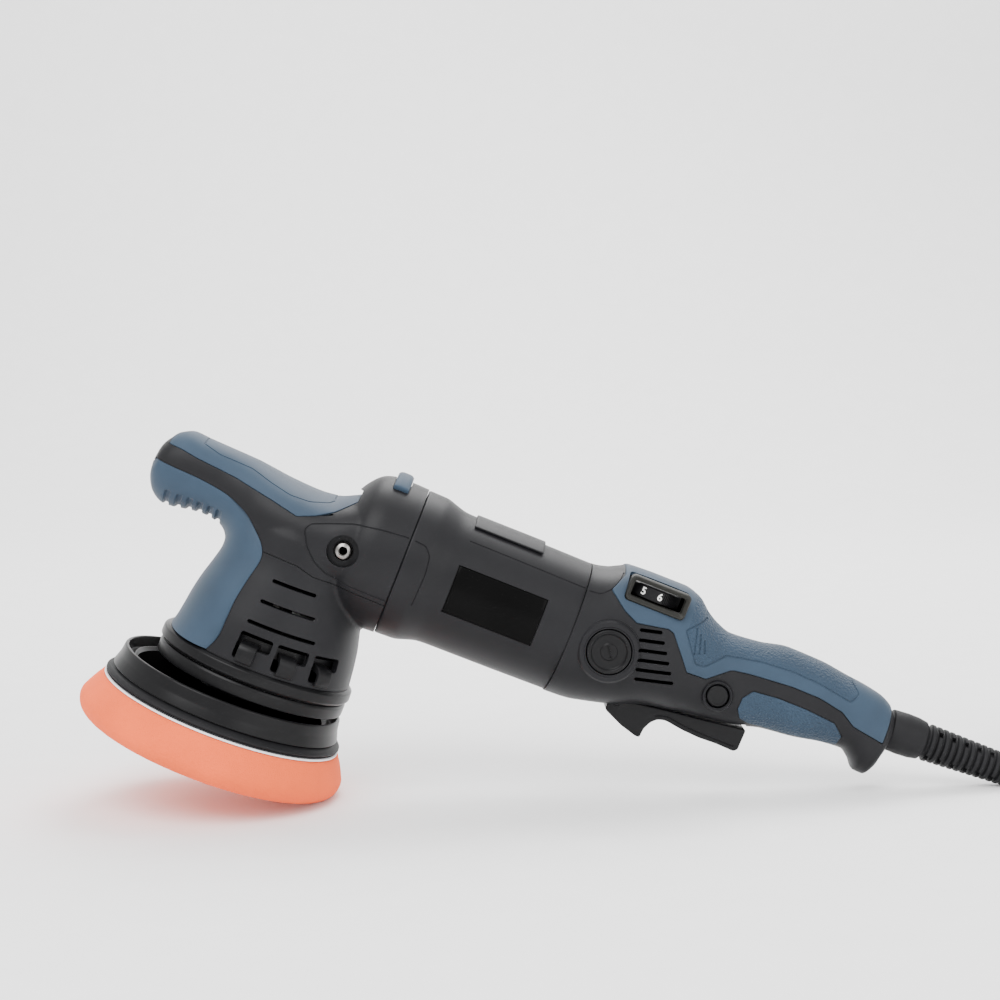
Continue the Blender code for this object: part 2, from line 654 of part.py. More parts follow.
def make_armature(armature):
    make_pinion(armature)
    profile = [(0, 184.6), (4.0, 184.6), (4.0, 175.6), (6.0, 175.6), (6.0, 41), (5.0, 41), (5.0, 29),
               (4.0, 27), (4.0, 22.7), (0, 22.7)]
    lathe("armature_shaft", profile, "steel", armature, axis="X", ring=False, steps=14)
    tube("armature_bearing_front", 14.0, 5.3, 30, 39, "steel", armature, axis="X", steps=13)
    tube("armature_bearing_rear", 11.0, 4.3, 176.4, 184, "steel", armature, axis="X", steps=13)
    tube("armature_core", 20.0, 6.3, 72, 128, "steel", armature, axis="X", steps=24)
    tube("commutator", 12.4, 6.3, 150, 171, "copper", armature, axis="X", steps=13)
    fan = lathe(
        "motor_fan", [(11, 60.6), (11, 52.4), (29, 51.2), (29, 49.2), (6.3, 49.2), (6.3, 60.6)],
        "black_plastic", armature, axis="X", steps=14,
    )
    for k in range(7):
        bm = bmesh.new()
        bmesh.ops.create_cube(bm, size=1.0)
        bmesh.ops.scale(bm, vec=(8.6 * MM, 1.4 * MM, 18.6 * MM), verts=bm.verts)
        bmesh.ops.translate(bm, vec=(55.0 * MM, 0, 19.3 * MM), verts=bm.verts)
        blade = add(f"blade_form_{k}", bm, None, armature)
        blade.rotation_euler = (2 * math.pi * k / 7 + 0.05, 0, 0)
        cut(fan, blade, join=True)


# ---------------------------------------------------------------- rear casing


def grip_pocket_rows(edges, side, out, spread=0.0, columns=6, stations=10):
    """One side's lower grip, between its lower and upper edges."""
    low_edge, high_edge = edges
    first, last = low_edge[0][0], low_edge[-1][0]
    rows = []
    for i in range(stations + 1):
        x = first + (last - first) * i / stations
        low = read_table(low_edge, x, 1) - 1.6 * spread
        high = read_table(high_edge, x, 1) + 1.6 * spread
        x += {0: -spread, stations: spread}.get(i, 0.0)
        start, end = angle_at(TAIL_TABLE, x, low), angle_at(TAIL_TABLE, x, high)
        row = []
        for k in range(columns + 1):
            px, py, pz = body_point(TAIL_TABLE, x, start + (end - start) * k / columns, out)
            row.append((px, py * side, pz))
        rows.append(row)
    return rows


def upper_grip_rows(out, spread=0.0, columns=10, stations=16):
    """The upper grip: from its left edge over the casing's back to its right edge."""
    first, last = UPPER_EDGE[0][0], UPPER_EDGE[-1][0]
    rows = []
    for i in range(stations + 1):
        x = first + (last - first) * i / stations
        low = read_table(UPPER_EDGE, x, 1) - 3.0 * spread
        x += {0: -spread, stations: spread}.get(i, 0.0)
        start = angle_at(TAIL_TABLE, x, low)
        angles = [start + (math.pi - 2 * start) * k / columns for k in range(columns + 1)]
        rows.append([body_point(TAIL_TABLE, x, angle, out) for angle in angles])
    return rows


def make_upper_grip(tool):
    pocket = skin("pocket_upper", upper_grip_rows(4.0, GAP), upper_grip_rows(-2.2, GAP), None, tool)
    grip = skin("tail_upper_grip", upper_grip_rows(0.5), upper_grip_rows(-1.3), "blue_rubber", tool)
    dial_cut = dial_hole(tool, "dial_hole", 16.0, 6.8)
    for word in ("left", "right"):
        cut(bpy.data.objects[f"tail_shell_{word}"], pocket)
    cut(grip, dial_cut)
    slit = box(
        "dial_slit", (DIAL_X - 16, -60, DIAL_Z - 4.6), (DIAL_X + 16, -6, DIAL_Z + 4.6), None, tool,
    )
    cut(bpy.data.objects["tail_shell_left"], dial_cut, slit)


UPPER_EDGE = [
    (155.4, 24.0), (160.8, 21.0), (168.3, 17.6), (184.4, 20.4), (187.5, 19.4), (201.4, 3.2),
    (212.0, 3.2), (222.9, 11.8), (232.2, 13.2), (254.2, 15.0), (269.5, 14.8), (282.7, 12.4),
    (290.8, 7.6), (308.6, 4.6),
]
LOWER_EDGE = [(233.4, -5.4), (236.5, -9.6), (242.0, -10.6), (262.0, -9.0), (279.0, -6.4), (287.4, -4.6)]
LOWER_TOP = [(233.4, 0.6), (237.1, 5.6), (250.3, 6.9), (265.6, 6.8), (281.4, 5.4), (287.4, 0.4)]


def tail_hollow(tool):
    table = [(x, top - 3.0, low + 3.0, half - 3.0) for x, top, low, half in TAIL_TABLE]
    stations = [130, 148, 158, 174, 188, 196.6, 204.5, 219, 234, 250, 267, 283, 296, 306]
    table = [(130.0, 31.0, -31.2, 31.2)] + table
    return rings_solid("hollow_tail", body_rings(table, stations, 14), None, tool)


def make_tail(tool):
    hollow = tail_hollow(tool)
    for side, word in ((1, "left"), (-1, "right")):
        axis = "-Y" if side > 0 else "+Y"
        stations = [row[0] for row in TAIL_TABLE]
        shell = rings_solid(f"tail_shell_{word}", body_rings(TAIL_TABLE, stations, 16), "dark_plastic", tool)
        other = box(
            f"other_side_{word}", (120, -GAP / 2 if side > 0 else -80, -80),
            (340, 80 if side > 0 else GAP / 2, 80), None, tool,
        )
        cut(shell, hollow, other)
        edges = (LOWER_EDGE, LOWER_TOP)
        pocket = skin(
            f"pocket_lower_{word}", grip_pocket_rows(edges, side, 4.0, GAP),
            grip_pocket_rows(edges, side, -1.9, GAP), None, tool,
        )
        cut(shell, pocket)
        skin(
            f"tail_lower_grip_{word}", grip_pocket_rows(edges, side, 0.5),
            grip_pocket_rows(edges, side, -1.3), "blue_rubber", tool,
        )
        brush_hole = disc(f"brush_hole_{word}", 11.6, 20, 60, None, tool, axis=axis, at=(BRUSH_X, 0, -0.5))
        cut(shell, brush_hole)
        for k in range(6):
            middle, length, z = 176.5 + 2.2 * k, 11.5 + 1.7 * k, 16.3 - 4.6 * k
            vent = box(
                f"vent_{word}_{k}", (middle - length / 2, -60 if side > 0 else 20, z - 0.9),
                (middle + length / 2, -20 if side > 0 else 60, z + 0.9), None, tool, turn_y=-12.7,
            )
            cut(shell, vent)
        mouth = prism(
            f"trigger_mouth_{word}",
            [(170.0, -60), (170.0, -24.6), (180, -20), (200, -17), (222, -13), (243.8, -6), (243.8, -60)],
            -TRIGGER_HALF - 0.5, TRIGGER_HALF + 0.5, None, tool,
        )
        guard_hole = tool_rod(f"guard_hole_{word}", 9.4, (296, 10.4), (330, 11.6), tool)
        cut(shell, mouth, guard_hole)
        if side > 0:
            cut(shell, disc("lock_hole", 7.4, 10, 60, None, tool, axis="-Y", at=(LOCK_X, 0, LOCK_Z)))
        make_brush(tool, side, word, axis)
    make_dial_bezel(tool)
    make_upper_grip(tool)


def dial_hole(tool, name, half_x, half_z):
    return box(
        name, (DIAL_X - half_x, -60, DIAL_Z - half_z), (DIAL_X + half_x, -12.6, DIAL_Z + half_z), None, tool,
    )


def make_brush(tool, side, word, axis):
    low, high, half_x, half_z = 12.9, 28.0, 3.0, 4.0
    y = sorted((-side * low, -side * high))
    box(f"carbon_brush_{word}", (BRUSH_X - half_x, y[0], -half_z), (BRUSH_X + half_x, y[1], half_z), "carbon", tool)
    profile = [(0, 34.6), (4.0, 34.6), (4.6, 34.0), (8.6, 34.0), (9.6, 35.2), (11.2, 34.6), (11.2, 29.0), (0, 29.0)]
    cap = lathe(
        f"brush_cap_{word}", profile, "black_plastic", tool, axis=axis, at=(BRUSH_X, 0, -0.5), ring=False, steps=14
    )
    slit = box(
        f"brush_slit_{word}", (BRUSH_X - 3.3, min(-side * 33.2, -side * 40), -1.1),
        (BRUSH_X + 3.3, max(-side * 33.2, -side * 40), 0.1), None, tool, turn_y=55,
    )
    cut(cap, slit)


def make_dial_bezel(tool):
    bezel = box(
        "dial_bezel", (DIAL_X - 15.7, -29.4, DIAL_Z - 6.5), (DIAL_X + 15.7, -22.0, DIAL_Z + 6.5), "dial_grey", tool
    )
    window = box(
        "bezel_window", (DIAL_X - 13.6, -40, DIAL_Z - 3.7), (DIAL_X + 13.6, -15, DIAL_Z + 3.7), None, tool
    )
    cut(bezel, window)


def make_dial(dial):
    wheel = lathe(
        "speed_dial",
        [(13.8, 3.3), (14.3, 2.8), (14.3, -2.8), (13.8, -3.3), (2.4, -3.3), (2.4, 3.3)],
        "black_plastic", dial, steps=16,
    )
    return wheel


def make_controls(tool):
    box("speed_control_module", (184, -9, 6), (206, 9, 16), "black_plastic", tool)
    box("power_switch", (206, -8, -6), (232, 8, 3.6), "black_plastic", tool)


def make_lock_button(lock):
    lathe(
        "lock_button", [(0, 22.4), (4.4, 22.4), (5.5, 21.6), (5.7, 20.6), (5.7, 13.5), (0, 13.5)],
        "black_plastic", lock, axis="-Y", ring=False, steps=13,
    )


def make_trigger(trigger, tool):
    outline = [
        (172.6, -31.4), (183.0, -36.0), (192.0, -38.6), (194.0, -38.4), (194.4, -33.2), (197.0, -29.2),
        (203.4, -25.6), (212.8, -27.0), (222.3, -27.6), (231.5, -27.2), (241.2, -27.6), (243.0, -26.0),
        (243.2, -15.0), (222.0, -18.0), (200.0, -20.6), (186.0, -22.6), (177.0, -23.4),
        (172.6, -25.6),
    ]
    moved = [(x - TRIGGER_PIVOT[0], z - TRIGGER_PIVOT[1]) for x, z in outline]
    paddle = prism("trigger", moved, -TRIGGER_HALF, TRIGGER_HALF, "black_plastic", trigger)
    round_edges(paddle, 1.1)
    hole = disc("trigger_bore", 1.5, -20, 20, None, trigger, axis="-Y", steps=16)
    cut(paddle, hole)
    x, z = TRIGGER_PIVOT
    disc("trigger_pin", 1.2, -TRIGGER_HALF - 0.3, TRIGGER_HALF + 0.3, "steel", tool, axis="-Y", at=(x, 0, z), steps=16)
    spring_top = 3.0
    points = []
    turns, sides, height = 4, 8, 5.6
    for k in range(turns * sides + 1):
        a = 2 * math.pi * k / sides
        rise = height * k / (turns * sides)
        points.append((238 + spring_top * math.cos(a), spring_top * math.sin(a), -14.4 + rise))
    wire("trigger_spring", points, 0.5, "steel", tool, 1)


def wire(name, points, radius, paint, parent, resolution=2):
    """A round wire through points in millimetres."""
    curve = bpy.data.curves.new(name, "CURVE")
    curve.dimensions = "3D"
    curve.bevel_depth = radius * MM
    curve.bevel_resolution = resolution
    curve.use_fill_caps = True
    line = curve.splines.new("POLY")
    line.points.add(len(points) - 1)
    for place, point in zip(points, line.points):
        point.co = (*(Vector(place) * MM), 1.0)
    curve.materials.append(material(paint))
    made = bpy.data.objects.new(name, curve)
    PARTS.objects.link(made)
    made.parent = parent
    return made


# ---------------------------------------------------------------- cord


def tool_rod(name, radius, start, end, tool):
    """A round cutter along a line of the tool's mid plane."""
    return rod_rings(name, [(start, radius), (end, radius)], None, tool, 20)


def rod_rings(name, stops, paint, parent, sides=20):
    """A round body along a line of the mid plane: stops are ((x, z), radius)."""
    (first, _), (last, _) = stops[0], stops[-1]
    along = Vector((last[0] - first[0], 0, last[1] - first[1])).normalized()
    across = Vector((-along.z, 0, along.x))
    rings = []
    for (x, z), radius in stops:
        ring = []
        for k in range(sides):
            turn = 2 * math.pi * k / sides - math.pi / 2
            ring.append(Vector((x, 0, z)) + across * radius * math.sin(turn) + Vector((0, radius * math.cos(turn), 0)))
        rings.append(ring)
    return rings_solid(name, rings, paint, parent)


def make_guard(tool):
    """The rubber strain relief: a boot, a ribbed sleeve, and a flange held inside the casing."""
    def at(share):
        return tuple(a + (b - a) * share for a, b in zip(GUARD_START, GUARD_END))

    stops = [((301.0, 10.6), 9.0), ((312.4, 11.0), 9.0), (at(0.002), 10.6), (at(0.2), 10.9), (at(0.34), 10.0)]
    stops += [(at(0.36), 9.7), (at(1.0), GUARD_END_R)]
    guard = rod_rings("cord_guard", stops, "black_rubber", tool)
    bore = tool_rod("guard_bore", CORD_R + GAP, (290, 10.2), GUARD_END, tool)
    cut(guard, bore)


def cord_route():
    """The lead in world millimetres: from the guard, down to the surface and along to the coil."""
    x, z = to_world(*GUARD_END)
    lie = CORD_R + 0.15
    return [
        (x + 0.4, 0, z), (x + 6, 0, z - 1.9), (x + 13, 0, lie + 0.2), (x + 24, 0, lie), (x + 36, 0, lie),
        (x + 48, 0, lie), (x + LEAD_RUN, 0, lie),
    ]


def coil_centre():
    """The coil lies beyond the lead, which runs in along its outermost turn."""
    x, _ = to_world(*GUARD_END)
    outer_turn = COIL_MID_R + COIL_HALF - CORD_R
    meets = math.sqrt((COIL_MID_R + COIL_HALF) ** 2 - (outer_turn - CORD_R) ** 2)
    return x + LEAD_RUN + meets + 0.8, outer_turn


def end_route():
    """The cord's last stretch: over the coil's top turns and up into the plug."""
    x, y = coil_centre()
    top = 2 * COIL_HALF + CORD_R + 0.5
    points = []
    for turn in range(-60, 46, 15):
        angle = math.radians(turn)
        points.append((x + END_TURN_R * math.cos(angle), y + END_TURN_R * math.sin(angle), top))
    for turn, rise in ((60, 0.2), (75, 0.7), (86, 1.0)):
        angle = math.radians(turn)
        reach = (PLUG_ENTRY + END_BEND_R * math.cos(angle), PLUG_ENTRY + END_BEND_R * math.sin(angle))
        points.append((x + reach[0], y + reach[1], top + (PLUG_Z - top) * rise))
    return points


def smooth_route(points, step=12.0):
    """Points every step along a smooth curve through the given points."""
    spots = [Vector(p) for p in points]
    spots = [spots[0] * 2 - spots[1]] + spots + [spots[-1] * 2 - spots[-2]]
    out = []
    for a, b, c, d in zip(spots, spots[1:], spots[2:], spots[3:]):
        count = max(1, round((c - b).length / step))
        for k in range(count):
            t = k / count
            out.append(0.5 * (2 * b + (c - a) * t + (2 * a - 5 * b + 4 * c - d) * t**2 + (3 * b - a - 3 * c + d) * t**3))
    return out + [spots[-2]]


def make_cord():
    wire("cord_lead", smooth_route(cord_route(), 9.0), CORD_R, "black_rubber", None, 2)
    wire("cord_end", smooth_route(end_route(), 12.0), CORD_R, "black_rubber", None, 2)


def make_coil():
    """The outer shape of the coiled cord, and the plug lying against it."""
    x, y = coil_centre()
    outer, inner = COIL_MID_R + COIL_HALF, COIL_MID_R - COIL_HALF
    low, high = 0.2, 2 * COIL_HALF
    profile = [(outer - 4, high), (outer, high - 5), (outer, low + 4), (outer - 4, low), (inner + 4, low),
               (inner, low + 4), (inner, high - 5), (inner + 4, high)]
    lathe("cord_coil", profile, "black_rubber", None, at=(x, y, 0), steps=24)


def make_plug():
    """A moulded mains plug, lying on the coil with its pins along -X."""
    x, y = coil_centre()
    entry = Vector((x + PLUG_ENTRY - 0.4, y + PLUG_SIDE, PLUG_Z))
    stops = [(0, 5.0, 5.0), (14, 6.2, 6.2), (21, 11.8, 11.4), (25, 13.0, 12.4), (46, 13.0, 12.4), (48, 12.0, 11.4)]
    rings = []
    for along, half_y, half_z in stops:
        ring = []
        for k in range(12):
            turn = 2 * math.pi * k / 12
            side = (signed_power(math.cos(turn), 0.7) * half_y, signed_power(math.sin(turn), 0.7) * half_z)
            ring.append(entry + Vector((-along, side[0], side[1])))
        rings.append(ring)
    plug = rings_solid("plug", rings, "black_rubber", None)
    for k, side in enumerate((-7.0, 7.0)):
        pin = lathe(
            f"pin_form_{k}", [(0, 4), (2.0, 4), (2.0, -17.5), (1.4, -19), (0, -19)], None, None, axis="X",
            at=(entry.x - 48, entry.y + side, entry.z), steps=12, ring=False,
        )
        cut(plug, pin, join=True)


def main():
    clear_scene()
    tool = empty("tool_frame")
    tool.rotation_euler = (0, TILT, 0)
    tool.location = (SHIFT_X * MM, 0, LIFT * MM)
    spindle = empty("spindle_axis", tool)
    pad = empty("pad_axis", tool, (-ORBIT_OFFSET, 0, 0))
    armature = empty("armature_axis", tool)
    trigger = empty("trigger_axis", tool, (TRIGGER_PIVOT[0], 0, TRIGGER_PIVOT[1]))
    lock = empty("lock_axis", tool, (LOCK_X, 0, LOCK_Z))
    dial = empty("dial_axis", tool, (DIAL_X, -12.4, DIAL_Z))
    shared = make_head(tool)
    make_shroud(tool, *shared)
    make_rings(tool)
    make_gear_case(tool)
    make_spindle(spindle)
    make_pad(pad)
    make_motor(tool)
    make_armature(armature)
    make_tail(tool)
    make_dial(dial)
    make_controls(tool)
    make_lock_button(lock)
    make_trigger(trigger, tool)
    make_guard(tool)
    make_cord()
    make_coil()
    make_plug()


main()
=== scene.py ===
"""Looks for the dual action polisher: fine shells, soft grips, a foam pad and a coiled cord.

Shapes are drawn in the tool's own millimetre frame: the origin is where the output spindle's
axis meets the motor's axis, +X runs to the cord, +Z up the spindle, and -Y is the left side.
TOOL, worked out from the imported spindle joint, carries them into the frame.
"""

import json
import math

import bmesh
import bpy
from mathutils import Matrix, Vector, noise
from mathutils.bvhtree import BVHTree


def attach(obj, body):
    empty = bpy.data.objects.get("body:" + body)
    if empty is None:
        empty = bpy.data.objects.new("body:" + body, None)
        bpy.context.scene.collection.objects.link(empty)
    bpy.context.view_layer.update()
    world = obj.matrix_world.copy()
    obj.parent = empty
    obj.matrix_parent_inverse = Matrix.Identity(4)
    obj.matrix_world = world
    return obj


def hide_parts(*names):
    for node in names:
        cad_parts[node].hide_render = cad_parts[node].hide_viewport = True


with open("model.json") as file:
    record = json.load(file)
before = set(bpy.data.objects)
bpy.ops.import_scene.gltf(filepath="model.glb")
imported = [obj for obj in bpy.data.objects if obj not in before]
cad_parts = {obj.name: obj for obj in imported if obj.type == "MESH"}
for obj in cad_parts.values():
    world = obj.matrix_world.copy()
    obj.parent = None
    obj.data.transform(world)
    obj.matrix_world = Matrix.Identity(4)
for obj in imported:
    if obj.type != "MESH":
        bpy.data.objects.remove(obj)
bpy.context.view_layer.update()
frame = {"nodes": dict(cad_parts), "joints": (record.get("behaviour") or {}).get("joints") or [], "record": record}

MM = 0.001
GAP = 0.3
SEAM_FRONT_X = 49.4
SEAM_REAR_X = 139.6
BRUSH_X = 160.6
DIAL_X, DIAL_Y, DIAL_Z = 172.5, -12.4, 33.0
BEZEL_X = 173.9
LOCK_X, LOCK_Z = 220.8, -2.7
PLATE_R = 62.5
PAD_R = 70.0
PAD_TOP_Z = -105.2
PAD_FACE_Z = -127.0
ORBIT_OFFSET = 7.5
GUARD_END = (378.0, 13.3)
CORD_R = 4.0
AT_BOLT = (20.9, 0, -2.1)
AT_BRUSH = (BRUSH_X, 0, -0.5)
AT_LOCK = (LOCK_X, 0, LOCK_Z)
AT_TRIGGER_PIN = (177.0, 0, -26.4)
TRIGGER_HALF = 9.7
MOUTH_HALF = 10.2
LABEL_SPAN = (76.9, 123.1)
WALL_SPOT = (0, 2.3, 0.9)
# Inner parts coloured black as painted shade, in place of their own finish, so that the openings read as dark as
# they do in a dim casing
SHADE_DARKENED = ("trigger_pin", "counterweight", "gearbox_housing")

# Outlines of the palm handle and head, as (x, top z, bottom z, half width)
HEAD_TABLE = [
    (-84.6, 6.0, -1.5, 5.0), (-83.3, 11.5, -7.0, 11.0), (-80.5, 16.0, -12.0, 15.0),
    (-77.0, 19.8, -15.5, 17.0), (-70.0, 22.6, -16.5, 18.5), (-62.0, 22.0, -15.6, 19.0),
    (-50.0, 21.5, -14.6, 19.0), (-43.0, 21.2, -16.0, 20.0), (-37.0, 20.9, -24.0, 23.0),
    (-28.0, 19.8, -26.0, 28.0), (-17.0, 18.4, -26.0, 32.0), (-2.0, 17.6, -26.0, 35.0),
    (8.0, 18.6, -26.0, 36.0), (16.0, 22.0, -26.0, 36.5), (24.0, 26.0, -26.0, 36.0),
]
# Outlines of the rear casing, as (x, top z, bottom z, half width)
TAIL_TABLE = [
    (139.9, 34.0, -34.2, 34.2), (148.0, 35.6, -34.0, 33.8), (153.0, 38.0, -33.6, 33.2),
    (158.0, 40.2, -32.6, 32.8), (174.0, 40.8, -28.6, 31.8), (188.0, 40.8, -23.4, 30.0),
    (196.6, 38.6, -21.6, 27.5), (204.5, 32.6, -20.6, 24.5), (211.0, 29.0, -19.6, 22.6),
    (219.0, 26.6, -18.8, 21.0), (234.0, 27.8, -17.0, 19.4), (250.0, 30.8, -12.4, 19.0),
    (267.0, 30.4, -10.4, 19.0), (283.0, 28.4, -7.4, 19.0), (292.0, 27.4, -6.8, 18.6),
    (299.0, 26.2, -10.8, 17.6), (303.0, 25.2, -15.0, 16.6), (307.5, 23.0, -15.2, 15.6),
    (310.4, 20.6, -11.0, 14.4), (312.0, 18.4, -4.0, 12.6),
]
PARTING = [(-60.0, -17.4), (-8.0, -16.6), (3.0, -16.8), (12.0, -19.3), (60.0, -20.2)]


# ---------------------------------------------------------------- frame of the tool


def tool_matrix():
    spin = next(joint for joint in frame["joints"] if joint["name"] == "spindle_spin")
    up, origin = Vector(spin["axis"]), Vector(spin["pos_m"])
    side = Vector((0, 1, 0))
    turn = Matrix((side.cross(up), side, up)).transposed().to_4x4()
    return Matrix.Translation(origin) @ turn @ Matrix.Scale(MM, 4)


TOOL = tool_matrix()


def placed(name, data):
    """A new object in the scene."""
    made = bpy.data.objects.new(name, data)
    bpy.context.scene.collection.objects.link(made)
    return made


# ---------------------------------------------------------------- camera


def make_camera():
    """The photograph's view: placed by angles in the tool's frame, then tilted with it."""
    azimuth, elevation, roll = (math.radians(a) for a in (-2.36, 4.06, 21.71))
    distance, target = 983.8, Vector((84.45, 0, 47.07))
    flat = math.cos(elevation)
    back = Vector((math.sin(azimuth) * flat, -math.cos(azimuth) * flat, math.sin(elevation)))
    right = Vector((math.cos(azimuth), math.sin(azimuth), 0))
    up = back.cross(right)
    level = math.cos(roll) * right + math.sin(roll) * up
    upright = -math.sin(roll) * right + math.cos(roll) * up
    data = bpy.data.cameras.new("camera")
    data.lens, data.sensor_width = 70.02, 36.0
    made = placed("camera", data)
    place = Matrix((level, upright, back)).transposed().to_4x4()
    turn = TOOL.to_3x3().normalized().to_4x4()
    made.matrix_world = Matrix.Translation(TOOL @ (target + back * distance)) @ turn @ place
    bpy.context.scene.camera = made


make_camera()


# ---------------------------------------------------------------- materials


def node_of(tree, kind, **values):
    made = tree.nodes.new(kind)
    for name, value in values.items():
        if hasattr(made, name):
            setattr(made, name, value)
        else:
            made.inputs[name.replace("_", " ").title() if name != "W" else name].default_value = value
    return made


def paint(name, colour, roughness, metallic=0.0, grain=2600.0, bump=0.12, depth=0.0002, shade=0.12,
          pattern="NOISE", spread=0.06, sheen=0.0, gloss=0.16):
    """A moulded finish: fine grain in the bump, slow drift in the colour and the roughness."""
    made = bpy.data.materials.new(name)
    made.use_nodes = True
    tree = made.node_tree
    shader = tree.nodes["Principled BSDF"]
    shader.inputs["Metallic"].default_value = metallic
    shader.inputs["Sheen Weight"].default_value = sheen
    shader.inputs["Specular IOR Level"].default_value = gloss
    place = tree.nodes.new("ShaderNodeTexCoord")
    slow = node_of(tree, "ShaderNodeTexNoise", scale=38.0, detail=3.0)
    tree.links.new(place.outputs["Object"], slow.inputs["Vector"])
    ramp = tree.nodes.new("ShaderNodeValToRGB")
    ramp.color_ramp.elements[0].position = 0.3
    ramp.color_ramp.elements[1].position = 0.7
    ramp.color_ramp.elements[0].color = (*(c * (1 - shade) for c in colour), 1)
    ramp.color_ramp.elements[1].color = (*(c * (1 + shade) for c in colour), 1)
    tree.links.new(slow.outputs["Fac"], ramp.inputs["Fac"])
    tree.links.new(ramp.outputs["Color"], shader.inputs["Base Color"])
    rough = node_of(tree, "ShaderNodeMapRange")
    rough.inputs["To Min"].default_value = roughness - spread
    rough.inputs["To Max"].default_value = roughness + spread
    tree.links.new(slow.outputs["Fac"], rough.inputs["Value"])
    tree.links.new(rough.outputs["Result"], shader.inputs["Roughness"])
    relief = node_of(tree, "ShaderNodeBump", strength=bump, distance=depth)
    if pattern == "NOISE":
        fine = node_of(tree, "ShaderNodeTexNoise", scale=grain, detail=2.0)
        height = fine.outputs["Fac"]
    else:
        fine = node_of(tree, "ShaderNodeTexVoronoi", scale=grain)
        fine.feature = "SMOOTH_F1" if pattern == "PEBBLE" else "F1"
        height = fine.outputs["Distance"]
    tree.links.new(place.outputs["Object"], fine.inputs["Vector"])
    tree.links.new(height, relief.inputs["Height"])
    tree.links.new(relief.outputs["Normal"], shader.inputs["Normal"])
    return made


PAINTS = {
    "dark_plastic": paint("dark_plastic", (0.0085, 0.0085, 0.0098), 0.44, bump=0.25),
    "black_plastic": paint("black_plastic", (0.005, 0.005, 0.0056), 0.38, bump=0.12),
    "satin_black": paint("satin_black", (0.0045, 0.0045, 0.005), 0.32, bump=0.06),
    "blue_rubber": paint("blue_rubber", (0.027, 0.046, 0.072), 0.56, grain=3400, bump=0.25, sheen=0.06),
    "blue_pebble": paint(
        "blue_pebble", (0.024, 0.042, 0.067), 0.6, grain=950, bump=1.0, depth=0.0008, pattern="PEBBLE",
        sheen=0.06,
    ),
    "black_rubber": paint("black_rubber", (0.0085, 0.0085, 0.0095), 0.55, bump=0.3),
    "label_black": paint("label_black", (0.003, 0.003, 0.003), 0.2, bump=0.01, spread=0.02, gloss=0.03),
    "dial_grey": paint("dial_grey", (0.020, 0.020, 0.018), 0.5, bump=0.2),
    "steel": paint("steel", (0.26, 0.25, 0.24), 0.3, metallic=1.0, grain=900, bump=0.1),
    "copper": paint("copper", (0.72, 0.33, 0.16), 0.35, metallic=1.0, grain=1800, bump=0.5),
    "aluminium": paint("aluminium", (0.7, 0.7, 0.72), 0.42, metallic=1.0, bump=0.3),
    "carbon": paint("carbon", (0.02, 0.02, 0.02), 0.7),
    "hook_nylon": paint("hook_nylon", (0.02, 0.02, 0.022), 0.9, grain=2200, bump=1.0, pattern="PEBBLE"),
    "loop_white": paint("loop_white", (0.86, 0.87, 0.88), 0.9, bump=0.8, depth=0.0004, shade=0.05),
    "foam_orange": paint(
        "foam_orange", (0.92, 0.135, 0.035), 0.92, grain=1500, bump=0.9, depth=0.0006, shade=0.06, sheen=0.03
    ),
    # Flat black for painted shade: discs, rings and sheets set where only shade falls inside the tool
    "painted_shade_black": paint("painted_shade_black", (0.0012, 0.0012, 0.0012), 1.0, bump=0.0, spread=0.0, gloss=0.0),
    "digit_white": paint("digit_white", (0.8, 0.8, 0.78), 0.6, bump=0.05),
}

for entry in frame["record"]["subparts"]:
    node = frame["nodes"][entry["node"]]
    node.data.materials.clear()
    # the inner parts listed above take satin black as painted shade, not their own finish
    finish = "satin_black" if entry["node"] in SHADE_DARKENED else entry["material_slot"]
    node.data.materials.append(PAINTS[finish])


# ---------------------------------------------------------------- mesh helpers


def form(name, bm):
    """A mesh object in the tool's millimetres; piece() carries it into the frame."""
    bmesh.ops.recalc_face_normals(bm, faces=bm.faces)
    mesh = bpy.data.meshes.new(name)
    bm.to_mesh(mesh)
    bm.free()
    return placed(name, mesh)


def spun(made, degrees, axis="Z"):
    made.data.transform(Matrix.Rotation(math.radians(degrees), 4, axis))
    return made


def bent(a, b, c, t):
    """A place on the curve from a to c that leans towards b."""
    return (1 - t) ** 2 * a + 2 * t * (1 - t) * b + t**2 * c


def flowing(a, b, c, d, t):
    """A place between b and c on the smooth curve through all four."""
    return 0.5 * (2 * b + (c - a) * t + (2 * a - 5 * b + 4 * c - d) * t**2 + (3 * b - a - 3 * c + d) * t**3)


def settle(made):
    """Applies an object's modifiers, so that it can follow a pose as one mesh."""
    graph = bpy.context.evaluated_depsgraph_get()
    mesh = bpy.data.meshes.new_from_object(made.evaluated_get(graph))
    made.modifiers.clear()
    made.data = mesh
    return made


def carve(made, *cutters, join=False):
    for cutter in cutters:
        step = made.modifiers.new("carve", "BOOLEAN")
        step.operation = "UNION" if join else "DIFFERENCE"
        step.object = cutter
        step.solver = "MANIFOLD"
    settle(made)
    for cutter in cutters:
        bpy.data.objects.remove(cutter)
    return made


def merge_skin(made, voxel, smooth):
    """Melts a union's creases: one even skin, then smoothed."""
    step = made.modifiers.new("voxels", "REMESH")
    step.mode = "VOXEL"
    step.voxel_size = voxel
    relax = made.modifiers.new("relax", "SMOOTH")
    relax.factor, relax.iterations = 0.5, smooth
    return settle(made)


def bevel(made, width, segments=2, angle=50):
    step = made.modifiers.new("bevel", "BEVEL")
    step.width, step.segments = width, segments
    step.limit_method, step.angle_limit = "ANGLE", math.radians(angle)
    return settle(made)


def piece(made, finish, body="casing", replaces=(), sharp=35, place=TOOL):
    made.data.transform(place)
    made.data.materials.clear()
    made.data.materials.append(PAINTS[finish])
    made.data.shade_smooth()
    made.data.set_sharp_from_angle(angle=math.radians(sharp))
    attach(made, body)
    if replaces:
        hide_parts(*replaces)
    return made


